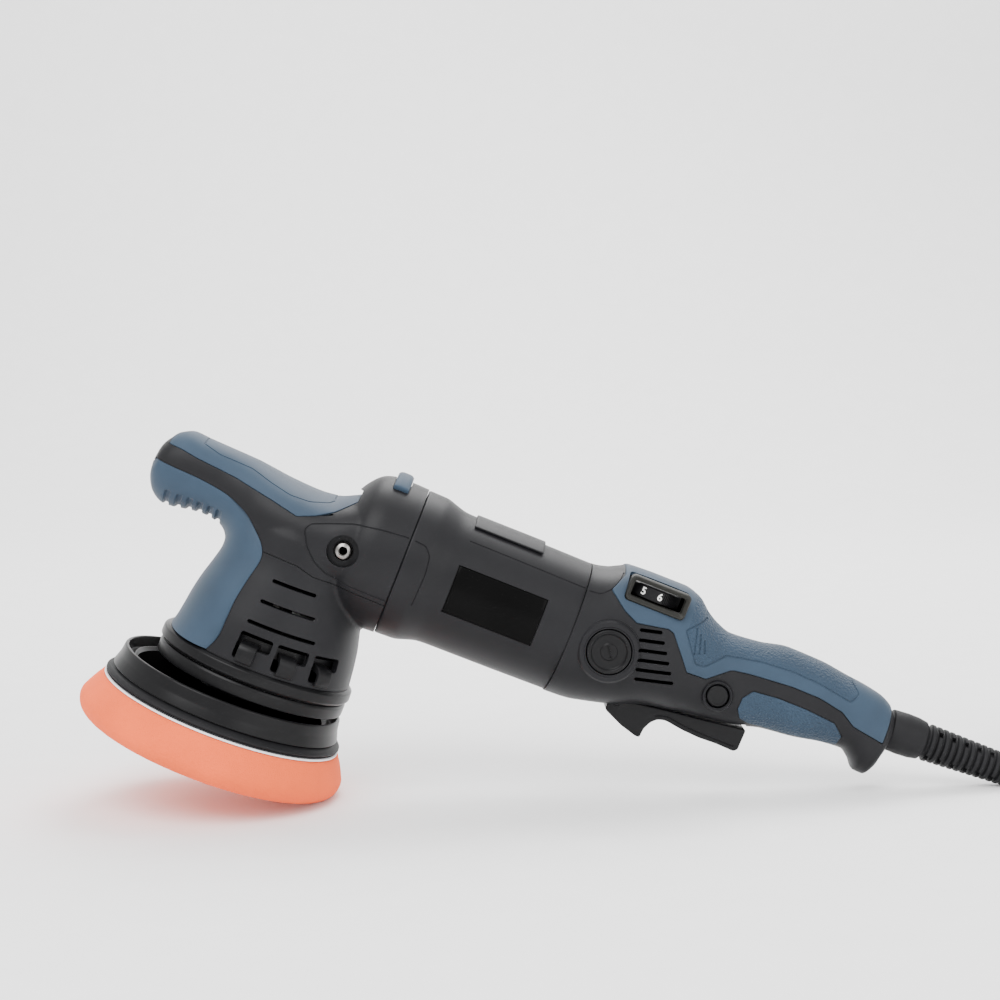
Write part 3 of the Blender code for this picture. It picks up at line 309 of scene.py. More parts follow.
def rings_form(name, rings, loop=False):
    bm = bmesh.new()
    layers = [[bm.verts.new(p) for p in ring] for ring in rings]
    count = len(layers[0])
    following = layers[1:] + ([layers[0]] if loop else [])
    for low, high in zip(layers, following):
        for j in range(count):
            k = (j + 1) % count
            bm.faces.new((low[j], low[k], high[k], high[j]))
    if not loop:
        bm.faces.new(layers[0])
        bm.faces.new(list(reversed(layers[-1])))
    return form(name, bm)


def skin_form(name, outer, inner):
    """A curved sheet of real thickness between two grids of points."""
    bm = bmesh.new()
    tops = [[bm.verts.new(p) for p in row] for row in outer]
    bases = [[bm.verts.new(p) for p in row] for row in inner]
    rows, columns = len(tops), len(tops[0])
    for grid in (tops, bases):
        for i in range(rows - 1):
            for j in range(columns - 1):
                bm.faces.new((grid[i][j], grid[i][j + 1], grid[i + 1][j + 1], grid[i + 1][j]))
    rim = [(0, j) for j in range(columns)] + [(i, columns - 1) for i in range(1, rows)]
    rim += [(rows - 1, j) for j in range(columns - 2, -1, -1)]
    rim += [(i, 0) for i in range(rows - 2, 0, -1)]
    for (i, j), (k, m) in zip(rim, rim[1:] + rim[:1]):
        bm.faces.new((tops[i][j], tops[k][m], bases[k][m], bases[i][j]))
    return form(name, bm)


def eased(profile, radius, steps=4, closed=True):
    """A profile with its corners rounded."""
    spots = [Vector(p) for p in profile]
    out = []
    for k, spot in enumerate(spots):
        if not closed and k in (0, len(spots) - 1):
            out.append(spot)
            continue
        before, after = spots[k - 1] - spot, spots[(k + 1) % len(spots)] - spot
        reach = min(radius, before.length * 0.45, after.length * 0.45)
        start, end = spot + before.normalized() * reach, spot + after.normalized() * reach
        for j in range(steps + 1):
            out.append(bent(start, spot, end, j / steps))
    return [tuple(p) for p in out]


def turned(name, profile, axis="Z", at=(0, 0, 0), steps=128):
    """A turned form: profile is (radius, height), closed unless it starts and ends on the axis."""
    bm = bmesh.new()
    at = Vector(at)
    rows = []
    for radius, height in profile:
        row = []
        for k in range(1 if radius < 1e-6 else steps):
            angle = 2 * math.pi * k / steps
            c, s = radius * math.cos(angle), radius * math.sin(angle)
            spots = {"Z": (c, s, height), "X": (height, c, s), "-Y": (c, -height, s), "+Y": (c, height, s)}
            row.append(bm.verts.new(at + Vector(spots[axis])))
        rows.append(row)
    for low, high in zip(rows, rows[1:] + (rows[:1] if profile[0][0] > 0 else [])):
        if len(low) == len(high) == 1:
            continue
        for k in range(steps):
            j = (k + 1) % steps
            if len(low) == 1:
                bm.faces.new((low[0], high[k], high[j]))
            elif len(high) == 1:
                bm.faces.new((low[k], low[j], high[0]))
            else:
                bm.faces.new((low[k], low[j], high[j], high[k]))
    return form(name, bm)


def rod(name, radius, low, high, axis="Z", at=(0, 0, 0), steps=64):
    return turned(name, [(0, high), (radius, high), (radius, low), (0, low)], axis, at, steps)


def block(name, low, high, turn_y=0.0):
    bm = bmesh.new()
    bmesh.ops.create_cube(bm, size=1.0)
    bmesh.ops.scale(bm, vec=[b - a for a, b in zip(low, high)], verts=bm.verts)
    bmesh.ops.rotate(bm, matrix=Matrix.Rotation(math.radians(turn_y), 3, "Y"), verts=bm.verts)
    bmesh.ops.translate(bm, vec=[(a + b) / 2 for a, b in zip(low, high)], verts=bm.verts)
    return form(name, bm)


def pill(name, middle, length, height, low_y, high_y, turn_y=0.0):
    """A slot cutter with round ends, through Y."""
    outline = []
    for k in range(24):
        angle = 2 * math.pi * k / 24
        shift = math.copysign((length - height) / 2, math.cos(angle))
        outline.append((shift + height / 2 * math.cos(angle), height / 2 * math.sin(angle)))
    c, s = math.cos(math.radians(turn_y)), math.sin(math.radians(turn_y))
    places = [(middle[0] + x * c + z * s, middle[1] - x * s + z * c) for x, z in outline]
    return rings_form(name, [[(x, y, z) for x, z in places] for y in (low_y, high_y)])


def prism(name, outline, low_y, high_y):
    return rings_form(name, [[(x, y, z) for x, z in outline] for y in (low_y, high_y)])


def read_table(table, x, column):
    """The table's column at x, on a smooth curve through its rows."""
    xs = [row[0] for row in table]
    x = min(max(x, xs[0]), xs[-1])
    i = max(k for k in range(len(xs) - 1) if xs[k] <= x)
    ys = [row[column] for row in table]

    def slope(k):
        if k in (0, len(xs) - 1):
            return 0.0
        left = (ys[k] - ys[k - 1]) / (xs[k] - xs[k - 1])
        right = (ys[k + 1] - ys[k]) / (xs[k + 1] - xs[k])
        return 0.0 if left * right <= 0 else 2 * left * right / (left + right)

    span = xs[i + 1] - xs[i]
    t = (x - xs[i]) / span
    start, end = (ys[i], slope(i) * span), (ys[i + 1], slope(i + 1) * span)
    return (
        (2 * t**3 - 3 * t**2 + 1) * start[0] + (t**3 - 2 * t**2 + t) * start[1]
        + (3 * t**2 - 2 * t**3) * end[0] + (t**3 - t**2) * end[1]
    )


def on_line(points, x):
    """Height of a broken line at x."""
    for (ax, az), (bx, bz) in zip(points, points[1:]):
        if x <= bx:
            return az + (bz - az) * min(max((x - ax) / (bx - ax), 0.0), 1.0)
    return points[-1][1]


def signed_power(value, power):
    return math.copysign(abs(value) ** power, value)


def body_point(table, x, angle, out=0.0, square=2.4):
    """A point on a lofted body: angle 0 is the left side (-Y), 90 degrees the top."""
    top, low = read_table(table, x, 1) + out, read_table(table, x, 2) - out
    half = read_table(table, x, 3) + out
    power = 2.0 / square
    y = -half * signed_power(math.cos(angle), power)
    z = (top + low) / 2 + (top - low) / 2 * signed_power(math.sin(angle), power)
    return (x, y, z)


def angle_at(table, x, z, square=2.4):
    """The angle at which a lofted body's left side stands at height z."""
    top, low = read_table(table, x, 1), read_table(table, x, 2)
    share = (z - (top + low) / 2) / ((top - low) / 2)
    share = min(max(share, -1.0), 1.0)
    return math.asin(signed_power(share, square / 2))


def spaced(low, high, count):
    return [low + (high - low) * k / count for k in range(count + 1)]


def body_rings(table, stations, sides, out=0.0):
    angles = [2 * math.pi * (k + 0.5) / sides for k in range(sides)]
    return [[body_point(table, x, a, out) for a in angles] for x in stations]


def tube_along(name, path, radius, sides=10):
    """A round cutter or cord along a path."""
    spots = [Vector(p) for p in path]
    rings = []
    previous = None
    for k, spot in enumerate(spots):
        along = (spots[min(k + 1, len(spots) - 1)] - spots[max(k - 1, 0)]).normalized()
        guide = previous if previous is not None else along.orthogonal()
        across = (guide - along * guide.dot(along)).normalized()
        previous = across
        other = along.cross(across)
        turns = [2 * math.pi * j / sides for j in range(sides)]
        rings.append([spot + radius * (across * math.cos(a) + other * math.sin(a)) for a in turns])
    return rings_form(name, rings)


def dense(points, step=1.0):
    """Points every step along a broken line, with its corners eased."""
    spots = [Vector(p) for p in points]
    out = []
    for a, b in zip(spots, spots[1:]):
        count = max(1, round((b - a).length / step))
        out += [a + (b - a) * k / count for k in range(count)]
    out.append(spots[-1])
    for _ in range(2):
        out = [out[0]] + [(a + 2 * b + c) / 4 for a, b, c in zip(out, out[1:], out[2:])] + [out[-1]]
    return out


def groove_from(made, points, toward, radius):
    """A groove cutter along the surface that rays from the points meet."""
    bm = bmesh.new()
    bm.from_mesh(made.data)
    tree = BVHTree.FromBMesh(bm)
    bm.free()
    path = []
    for spot in dense(points):
        hit = tree.ray_cast(spot, Vector(toward))[0]
        if hit is not None:
            path.append(hit)
    return tube_along("groove", path, radius)


def side_groove(made, line, side, radius=0.45):
    """A groove along a line in X and Z, on the left side (-1) or the right (1)."""
    return groove_from(made, [(x, side * 150, z) for x, z in line], (0, -side, 0), radius)


def loft_groove(table, line, side, radius=0.45, out=0.0, over=False):
    """A groove along a line in X and Z on a lofted body; over carries it across the top."""
    spots = dense([(x, 0, z) for x, z in line])
    path = [body_point(table, x, angle_at(table, x, z), out) for x, _, z in spots]
    mirrored = [(x, -y, z) for x, y, z in path]
    if not over:
        return tube_along("groove", path if side < 0 else mirrored, radius)
    crossings = []
    for x, _, z in (path[0], path[-1]):
        start = angle_at(table, x, z)
        crossings.append([body_point(table, x, a, out) for a in spaced(start, math.pi - start, 40)])
    first_cross, last_cross = crossings
    loop = path + last_cross[1:] + mirrored[::-1][1:] + first_cross[::-1][1:-1]
    return tube_along("groove", loop, radius)


# ---------------------------------------------------------------- head


def refined(rows, times):
    """Rows of a grid on smooth curves through the given rows."""
    out = []
    last = len(rows) - 1
    for i in range(last):
        a, b, c, d = (rows[min(max(k, 0), last)] for k in (i - 1, i, i + 1, i + 2))
        for step in range(times):
            t = step / times
            out.append([flowing(*(Vector(spot) for spot in spots), t) for spots in zip(a, b, c, d)])
    return out + [[Vector(p) for p in rows[-1]]]


FINGER_GROOVES = [-71.4, -65.2, -59.6, -54.2, -48.8, -44.0]


def finger_dent(x, z):
    """How deep the finger grooves cut the front grip at a place."""
    if z > -8.0 or z < -21.0:
        return 0.0
    for middle in FINGER_GROOVES:
        if abs(x - middle) < 1.5:
            return 1.5 * min(1.0, (1.5 - abs(x - middle)) / 0.4) * min(1.0, (-8.0 - z) / 0.8)
    return 0.0


def grip_rows(out, spread=0.0, columns=48, times=8, dents=False):
    """The front grip: arches from one edge over the handle's underside and the front pillar."""
    stations = [
        ((-83.0, 4.4, 9.0), (-85.0, 1.0)), ((-81.0, 4.4, 14.0), (-83.8, -6.1)),
        ((-77.0, 4.2, 16.6), (-80.2, -12.6)), ((-71.0, 4.0, 18.2), (-74.5, -16.4)),
        ((-65.0, 3.8, 18.8), (-68.5, -16.6)), ((-58.0, 3.4, 18.9), (-61.5, -15.4)),
        ((-50.0, 2.4, 19.0), (-54.5, -14.4)), ((-43.0, 1.2, 19.8), (-48.0, -14.7)),
        ((-36.0, -1.0, 22.0), (-41.8, -16.4)), ((-29.5, -3.8, 25.6), (-38.0, -20.4)),
        ((-23.2, -8.6, 29.6), (-37.4, -25.0)), ((-17.0, -14.6, 32.8), (-38.2, -29.4)),
        ((-15.0, -21.0, 34.4), (-40.0, -36.0)), ((-17.0, -31.0, 36.4), (-42.0, -43.0)),
        ((-19.0, -42.0, 38.6), (-43.7, -51.0)), ((-19.6, -53.0, 40.2), (-44.9, -59.0)),
        ((-20.2, -62.4, 41.4), (-46.0, -65.6)), ((-23.4, -70.0, 42.2), (-47.2, -70.0)),
    ]
    rows = []
    for (edge_x, edge_z, half), (peak_x, peak_z) in stations:
        away = Vector((peak_x - edge_x, peak_z - edge_z))
        unit = away.normalized()
        start = Vector((edge_x, edge_z)) - unit * spread
        reach = (away.length + spread + out) * unit
        row = []
        for k in range(columns + 1):
            angle = math.pi * (k / columns - 0.5)
            place = start + reach * math.cos(angle) ** 0.92
            row.append((place.x, (half + max(out, out * 0.8)) * math.sin(angle), place.y))
        rows.append(row)
    rows = refined(rows, times)
    if dents:
        for row in rows:
            core = Vector((row[0].x, 0, row[0].z + 2))
            for spot in row:
                dent = finger_dent(spot.x, spot.z)
                if dent:
                    spot += (core - Vector((spot.x, spot.y * 0.4, spot.z))).normalized() * dent
    if spread:
        first, last = rows[0], rows[-1]
        rows.insert(0, [Vector((p.x - 1.2 * spread, p.y, p.z + 0.8 * spread)) for p in first])
        rows.append([Vector((p.x, p.y, p.z - 4.0 * spread)) for p in last])
    return rows


TOP_GRIP_EDGE = [
    (-79.4, 14.0), (-72.0, 13.8), (-62.9, 12.5), (-42.0, 10.7), (-20.7, 7.9),
    (-6.5, 5.4), (2.0, 8.8), (10.0, 13.4), (18.6, 21.4),
]


def top_grip_rows(out, spread=0.0, columns=56, stations=130):
    """The top grip: from its left edge over the handle's back to its right edge."""
    rows = []
    for x in spaced(TOP_GRIP_EDGE[0][0] - spread, TOP_GRIP_EDGE[-1][0] + spread, stations):
        first = angle_at(HEAD_TABLE, x, on_line(TOP_GRIP_EDGE, x) - spread)
        rows.append([
            body_point(HEAD_TABLE, x, angle, out) for angle in spaced(first, math.pi - first, columns)
        ])
    return rows


def bumper_form(name, spread=0.0, lift=0.0):
    """A saddle of rubber over the barrel's ridge."""
    rows_out, rows_in = [], []
    for x in spaced(32.2 - spread, 40.2 + spread, 12):
        share = abs(x - 36.2) / (4.0 + spread)
        rise = 3.3 - 1.2 * share**4
        outer, inner = [], []
        for turn in spaced(-28.0 - spread, 28.0 + spread, 32):
            turn = math.radians(turn)
            low = 1.6 + (rise - 1.6) * max(math.cos(turn * 90 / 29.5), 0.0) ** 0.5 + lift
            for radius, row in ((39.0 + low, outer), (37.2 - spread, inner)):
                row.append((x, -radius * math.sin(turn), radius * math.cos(turn)))
        rows_out.append(outer)
        rows_in.append(inner)
    return skin_form(name, rows_out, rows_in)


def beyond_parting(up):
    """A cutter for all that lies above, or below, the head's parting line."""
    shift = GAP / 2 if up else -GAP / 2
    far = 80.0 if up else -90.0
    line = [(-100.0, PARTING[0][1] - shift)] + [(x, z - shift) for x, z in PARTING]
    line += [(70.0, PARTING[-1][1] - shift), (70.0, far), (-100.0, far)]
    return prism("beyond_parting", line, -60, 60)


def barrel_form():
    profile = [
        (0, 58.0), (38.5, 58.0), (38.7, 49.4), (39.0, 44), (39.1, 32), (36.9, 25), (31.0, 19.6),
        (22.0, 14.5), (0, 12),
    ]
    return turned("barrel_form", eased(profile, 4.0, closed=False), "X")


def shoulder_form():
    """The round shoulder on which the head meets the shroud."""
    profile = [(0, 4.0), (33.0, 4.0), (36.4, -6.0), (37.0, -12.0), (37.3, -18.0), (38.6, -25.0), (0, -25.0)]
    return turned("shoulder_form", profile)


def cavity_barrel():
    profile = [
        (0, 70), (34.6, 70), (34.6, 45), (30.8, 43), (30.8, 28), (25, 21), (18, 16.4), (8, 12), (0, 12),
    ]
    return turned("cavity_barrel", profile, "X")


def head_cavities():
    return [
        rod("cavity_spindle", 30.8, -60, 12.4), cavity_barrel(),
        rings_form("cavity_handle", body_rings(HEAD_TABLE, [-70, -60, -48, -36, -26], 16, out=-8.0)),
    ]


HEAD_PANEL = [(60.0, 14.8), (47.6, 15.8), (34.0, 14.6), (21.3, 12.2), (8.0, 7.2), (1.6, 4.6), (-0.4, 1.0)]
HEAD_PANEL += [(3.9, -6.4), (10.0, -12.2), (17.0, -15.6), (28.0, -17.0), (60.0, -17.4)]
INSERT_LINE = [
    (7.5, 17.2), (6.3, 16.0), (-3.3, 13.2), (-13.4, 12.8), (-24.3, 14.6), (-35.9, 17.2), (-53.5, 17.6),
    (-62.9, 19.6),
]


def make_head():
    stations = [-84.6, -84.2] + spaced(-83.6, 24.0, 110)
    cover = rings_form("head_cover_shell", body_rings(HEAD_TABLE, stations, 72))
    carve(cover, barrel_form(), shoulder_form(), join=True)
    merge_skin(cover, 0.9, 8)
    carve(
        cover, *head_cavities(), block("seam", (SEAM_FRONT_X, -70, -70), (90, 70, 70)),
        skin_form("recess_top", top_grip_rows(4.0, GAP), top_grip_rows(-2.2, GAP)),
        skin_form("recess_front", grip_rows(4.0, GAP), grip_rows(-2.8, GAP)),
        beyond_parting(False), bumper_form("bumper_recess", GAP, 3.0),
        *[rod("bolt_recess", 8.0, 31.2, 50, axis, AT_BOLT) for axis in ("-Y", "+Y")],
    )
    carve(cover, *[side_groove(cover, HEAD_PANEL, side, 0.42) for side in (-1, 1)])
    piece(cover, "dark_plastic", replaces=["head_cover"])
    top = bevel(skin_form("top_grip_rubber", top_grip_rows(0.35), top_grip_rows(-1.9)), 0.5)
    carve(top, loft_groove(HEAD_TABLE, INSERT_LINE, -1, 0.4, 0.35, over=True))
    piece(top, "blue_rubber", replaces=["handle_top_grip"])
    front = skin_form("front_grip_rubber", grip_rows(0.0, dents=True, times=14), grip_rows(-2.3, times=14))
    bevel(front, 0.5)
    piece(front, "blue_rubber", replaces=["handle_front_grip"])
    bumper = bevel(bumper_form("bumper_rubber"), 0.9, 3)
    piece(bumper, "blue_rubber", replaces=["rest_bumper"])
    for side, axis in (("left", "-Y"), ("right", "+Y")):
        profile = [(0, 35.2), (2.4, 35.0), (4.0, 34.1), (4.9, 32.5), (4.9, 31.5), (0, 31.5)]
        head = turned(f"bolt_head_{side}", eased(profile, 0.5, closed=False), axis, AT_BOLT, 48)
        carve(head, rod("socket", 2.6, 32.2, 40, axis, AT_BOLT, 6))
        piece(head, "steel", replaces=[f"handle_bolt_{side}"])
        # A black disc on the socket's floor: painted shade inside the hex socket
        base = rod(f"bolt_socket_shade_{side}", 2.1, 32.3, 32.6, axis, AT_BOLT)
        piece(base, "painted_shade_black")


def make_shroud():
    profile = [
        (37.0, -8), (37.2, -18), (38.4, -24), (40.4, -31), (42.7, -40), (45.6, -51),
        (47.0, -60), (48.3, -72.0), (0, -72.0), (0, -8),
    ]
    shroud = turned("shroud_shell", eased(profile[:-2], 2.0, closed=False) + profile[-2:])
    carve(shroud, barrel_form(), join=True)
    merge_skin(shroud, 0.9, 5)
    hollow = [
        (0, -5), (30.8, -5), (33.4, -22), (35.0, -31), (38.6, -40), (41.6, -51), (43.4, -60),
        (44.8, -72), (0, -72),
    ]
    carve(
        shroud, block("foot", (-70, -70, -90), (70, 70, -70.5)), beyond_parting(True),
        block("seam", (SEAM_FRONT_X, -70, -70), (90, 70, 70)), cavity_barrel(),
        turned("hollow", hollow),
        skin_form("recess_front", grip_rows(4.0, GAP), grip_rows(-2.8, GAP)),
    )
    cutters = []
    for side in (-1, 1):
        ends = sorted((side * 30, side * 60))
        for k, (middle, length) in enumerate(((5.6, 22.5), (6.6, 28.0), (7.6, 34.5))):
            cutters.append(pill("slot", (middle, -27.4 - 10.9 * k), length, 1.9, *ends))
        for turn in (92.5, 68.5, 43.5):
            window = bevel(block("window", (36, -8.4, -61.4), (58, 8.4, -54.4)), 1.4, 3)
            notch = bevel(block("notch", (36, -5.4, -68.0), (58, 5.4, -59)), 1.6, 3)
            cutters += [spun(window, side * turn), spun(notch, side * (turn + 4))]
    carve(shroud, *cutters)
    piece(shroud, "dark_plastic", replaces=["shroud"])
    guide = turned("air_guide_fins", [(41.2, -63.0), (41.2, -57.0), (39.0, -57.0), (39.0, -63.0)])
    fins = []
    for side in (-1, 1):
        for turn in (95.0, 70.2, 44.8):
            profile = [(39.8, -59.2), (44.6, -59.2), (48.2, -60.0), (49.8, -62.2), (50.2, -65.6),
                       (49.6, -68.9), (48.6, -69.2), (48.3, -63.2), (39.8, -61.6)]
            rings = [[(r, y, z) for r, z in eased(profile, 1.2)] for y in (-4.4, 4.4)]
            fins.append(spun(bevel(rings_form("fin", rings), 0.8, 3), side * turn))
    carve(guide, *fins, join=True)
    piece(guide, "black_plastic", replaces=["air_guide"])
    # A black ring inside the shroud: painted shade seen through its windows
    shade_sheet = turned("shroud_shade_sheet", [(38.9, -70.0), (38.9, -50.5), (38.6, -50.5), (38.6, -70.0)])
    piece(shade_sheet, "painted_shade_black")
    ring = [(48.6, -70.6), (50.4, -72.0), (50.6, -76.4), (49.2, -78.0), (45.2, -78.0), (45.2, -70.6)]
    ring = turned("shroud_ring_fine", eased(ring, 0.6))
    piece(ring, "satin_black", replaces=["shroud_ring"])
    skirt = [(48.8, -78.3), (49.6, -79.6), (49.5, -85.0), (47.9, -85.3), (47.0, -84.0), (46.2, -78.3)]
    piece(turned("skirt_fine", eased(skirt, 0.5)), "satin_black", replaces=["skirt_ring"])


# ---------------------------------------------------------------- pad


def make_pad():
    at = (-ORBIT_OFFSET, 0, 0)
    plate = [
        (56.0, -87.6), (57.6, -88.0), (58.4, -93.4), (60.2, -98.7), (8.4, -98.7), (8.4, -90.4),
        (5.0, -90.4), (5.0, -86.6), (14.0, -86.6), (16.5, -93.6), (49.6, -93.6), (51.4, -91.2),
        (53.2, -93.8), (55.4, -93.8),
    ]
    plate = turned("backing_plate_fine", eased(plate, 0.7), at=at, steps=160)
    piece(plate, "satin_black", "pad", ["backing_plate"])
    dish = [(17.2, -93.5), (17.2, -93.2), (49.4, -93.2), (49.8, -93.5)]
    piece(turned("dish_shade", dish, at=at, steps=160), "painted_shade_black", "pad")
    cushion = [(58.8, -99.0), (61.2, -100.4), (PLATE_R, -101.6), (PLATE_R, -102.6), (12.0, -102.6)]
    cushion.append((12.0, -99.0))
    cushion = turned("cushion_fine", eased(cushion, 0.4), at=at, steps=160)
    piece(cushion, "black_rubber", "pad", ["plate_cushion"])
    for name, outer, inner, low, high, finish, slot, node in (
        ("hook_fine", PLATE_R - 0.4, 12.0, -103.6, -102.9, "hook_nylon", "hook_nylon", "hook_layer"),
        ("loop_fine", PLATE_R + 0.2, 9.0, -104.9, -103.9, "loop_white", "loop_white", "loop_layer"),
    ):
        profile = eased([(outer, high), (outer, low), (inner, low), (inner, high)], 0.5)
        piece(turned(name, profile, at=at, steps=160), finish, "pad", [node])
    corner, rounding = PAD_R - 8.0, 8.0
    edge = [(PLATE_R + 0.6, PAD_TOP_Z), (66.6, -111.5)]
    for k in range(13):
        turn = math.radians(12 - 102 * k / 12)
        edge.append((corner + rounding * math.cos(turn), PAD_FACE_Z + rounding + rounding * math.sin(turn)))
    wall = [(PLATE_R + 0.6, PAD_TOP_Z)]
    for k in range(1, 9):
        wall.append(tuple(bent(a, b, c, k / 8) for a, b, c in zip(edge[0], (66.9, -111.0), edge[2])))
    face = [(r, PAD_FACE_Z) for r in spaced(corner - 3, 9.0, 16)]
    top = [(r, PAD_TOP_Z) for r in spaced(9.0, PLATE_R - 2, 12)]
    foam = turned("foam_pad_soft", wall + edge[3:] + face + top, at=at, steps=220)
    for vert in foam.data.vertices:
        spot = vert.co + Vector(at) * -1
        inside = vert.co.z > PAD_TOP_Z - 0.4
        broad, fine = noise.noise(spot * 0.35) - 0.2, noise.noise(spot * 1.1) - 0.3
        swell = 0.0 if inside else 0.16 * broad + 0.1 * fine
        away = Vector((spot.x, spot.y, 0))
        if away.length > PLATE_R:
            vert.co += away.normalized() * min(swell, 0.1)
    piece(foam, "foam_orange", "pad", ["foam_pad"], sharp=60)


# ---------------------------------------------------------------- motor


def curved_plate(name, span, turn, low, high, steps=40):
    """A plate bent round the motor's axis: turn is from the left side (0) to the top (90)."""
    grids = []
    for radius in (high, low):
        grids.append([
            [(x, -radius * math.cos(math.radians(a)), radius * math.sin(math.radians(a)))
             for a in spaced(*turn, steps)] for x in spaced(*span, 24)
        ])
    return skin_form(name, *grids)


MOTOR_PANEL = [(52.0, 15.6), (57.9, 15.1), (61.4, 11.0), (62.4, 2.0), (61.7, -14.6)]
MOTOR_LINE = [(77.2, 24.4), (100.0, 24.2), (125.0, 23.8), (139.0, 23.6)]


def make_motor():
    outer = [
        (34.0, SEAM_REAR_X), (34.4, 110), (34.6, 76), (34.9, 70.4), (36.8, 64.4), (38.1, 60.4),
        (38.4, 50.4), (37.9, SEAM_FRONT_X + GAP),
    ]
    front_lip, rear_lip = SEAM_FRONT_X - 3.4, SEAM_REAR_X + 3
    inner = [
        (34.3, SEAM_FRONT_X + GAP / 3), (34.3, front_lip), (32.6, front_lip), (32.6, 60), (31.6, 68),
        (31.6, rear_lip), (32.6, rear_lip), (32.6, SEAM_REAR_X),
    ]
    profile = eased(outer, 3.0, closed=False) + inner
    housing = turned("motor_housing_shell", profile, "X", steps=192)
    carve(housing, curved_plate("label_recess", (76.4, 123.6), (-21, 21), 33.0, 37.0))
    cutters = []
    for side in (-1, 1):
        cutters += [side_groove(housing, MOTOR_PANEL, side, 0.4), side_groove(housing, MOTOR_LINE, side, 0.4)]
    carve(housing, *cutters)
    piece(housing, "dark_plastic", replaces=["motor_housing"])
    label = bevel(curved_plate("label_gloss", LABEL_SPAN, (-20.4, 20.4), 33.3, 34.9), 0.4)
    piece(label, "label_black", replaces=["label_plate"])
    strip = curved_plate("top_strip_plate", (77.1, 113.9), (61.6, 118.4), 34.9, 35.9)
    piece(bevel(strip, 0.8, 4), "dark_plastic", replaces=["motor_top_strip"])


# ---------------------------------------------------------------- rear casing

UPPER_EDGE = [
    (151.4, 28.0), (160.8, 21.0), (168.3, 17.6), (184.4, 20.4), (187.5, 19.4), (201.4, 3.2),
    (212.0, 3.2), (222.9, 11.8), (232.2, 13.2), (254.2, 15.0), (269.5, 14.8), (282.7, 12.4),
    (290.8, 7.6), (308.6, 4.6),
]
LOWER_EDGE = [(233.4, -5.4), (236.5, -9.6), (242.0, -10.6), (262.0, -9.0), (279.0, -6.4), (287.4, -4.6)]
LOWER_TOP = [(233.4, 0.6), (237.1, 5.6), (250.3, 6.9), (265.6, 6.8), (281.4, 5.4), (287.4, 0.4)]
GRIP_LINE = [
    (202.6, 31.0), (199.6, 28.1), (192.8, 22.4), (203.9, 8.2), (209.0, 8.7), (217.7, 17.1), (236.8, 20.4),
    (251.5, 21.6), (267.0, 20.9), (285.0, 18.1), (288.2, 23.1), (284.0, 27.0),
]
CREST_LINE = [(141.0, 23.4), (147.0, 24.0), (151.5, 28.0), (154.2, 33.5), (155.0, 37.0)]


def upper_grip_rows(out, spread=0.0, columns=60, stations=170):
    """The upper grip: from its left edge over the casing's back to its right edge."""
    rows = []
    for x in spaced(UPPER_EDGE[0][0] - spread, UPPER_EDGE[-1][0] + spread, stations):
        start = angle_at(TAIL_TABLE, x, on_line(UPPER_EDGE, x) - 1.4 * spread)
        lean = 4.4 * max(0.0, 1 - (x - UPPER_EDGE[0][0]) / 16)
        row = []
        for angle in spaced(start, math.pi - start, columns):
            rise = (min(math.sin(angle), 1.0) - math.sin(start)) / (1 - math.sin(start))
            row.append(body_point(TAIL_TABLE, x + lean * min(1.0, 1.5 * rise), angle, out))
        rows.append(row)
    return rows


def lower_grip_rows(side, out, spread=0.0, columns=24, stations=70):
    rows = []
    for x in spaced(LOWER_EDGE[0][0] - spread, LOWER_EDGE[-1][0] + spread, stations):
        start = angle_at(TAIL_TABLE, x, on_line(LOWER_EDGE, x) - 1.4 * spread)
        end = angle_at(TAIL_TABLE, x, on_line(LOWER_TOP, x) + 1.4 * spread)
        points = [body_point(TAIL_TABLE, x, angle, out) for angle in spaced(start, end, columns)]
        rows.append([(px, -side * py, pz) for px, py, pz in points])
    return rows


def window_block():
    """The cutter of the opening that holds the dial's bezel."""
    half_x, half_z = 16.0, 6.8
    low, high = (BEZEL_X - half_x, -60.0, DIAL_Z - half_z), (BEZEL_X + half_x, -12.6, DIAL_Z + half_z)
    return bevel(block("window", low, high), 2.0, 4, 60)


def tail_cutters(side, axis):
    """All that is cut from one half of the rear casing, before its grooves."""
    wall = 3.0
    hollow_table = [(130.0, 31.0, -31.2, 31.2)]
    hollow_table += [(x, top - wall, low + wall, half - wall) for x, top, low, half in TAIL_TABLE]
    low_y, high_y = (-GAP / 2, 80) if side < 0 else (-80, GAP / 2)
    mouth = [(170.0, -60), (170.0, -24.6), (180, -20), (200, -17), (222, -13), (243.8, -6), (243.8, -60)]
    cutters = [
        rings_form("hollow", body_rings(hollow_table, spaced(130, 306, 50), 40)),
        block("other_side", (120, low_y, -80), (340, high_y, 80)),
        skin_form("pocket_low", lower_grip_rows(side, 4.0, GAP), lower_grip_rows(side, -1.9, GAP)),
        skin_form("pocket_up", upper_grip_rows(4.0, GAP), upper_grip_rows(-2.2, GAP)),
        rod("brush_hole", 11.6, 20, 60, axis, AT_BRUSH),
        prism("trigger_mouth", mouth, -MOUTH_HALF, MOUTH_HALF),
        tube_along("guard_hole", [(296, 0, 10.4), (330, 0, 11.6)], 9.4, 32),
    ]
    ends = sorted((side * 20, side * 60))
    for k in range(6):
        middle, length, z = 176.5 + 2.2 * k, 11.5 + 1.7 * k, 16.3 - 4.6 * k
        cutters.append(pill("vent", (middle, z), length, 1.9, *ends, turn_y=-12.7))
    if side < 0:
        cutters += [
            rod("lock_hole", 6.2, 10, 60, axis, AT_LOCK), window_block(),
            block("dial_slit", (DIAL_X - 16, -60, DIAL_Z - 4.6), (DIAL_X + 16, -6, DIAL_Z + 4.6)),
        ]
    return cutters


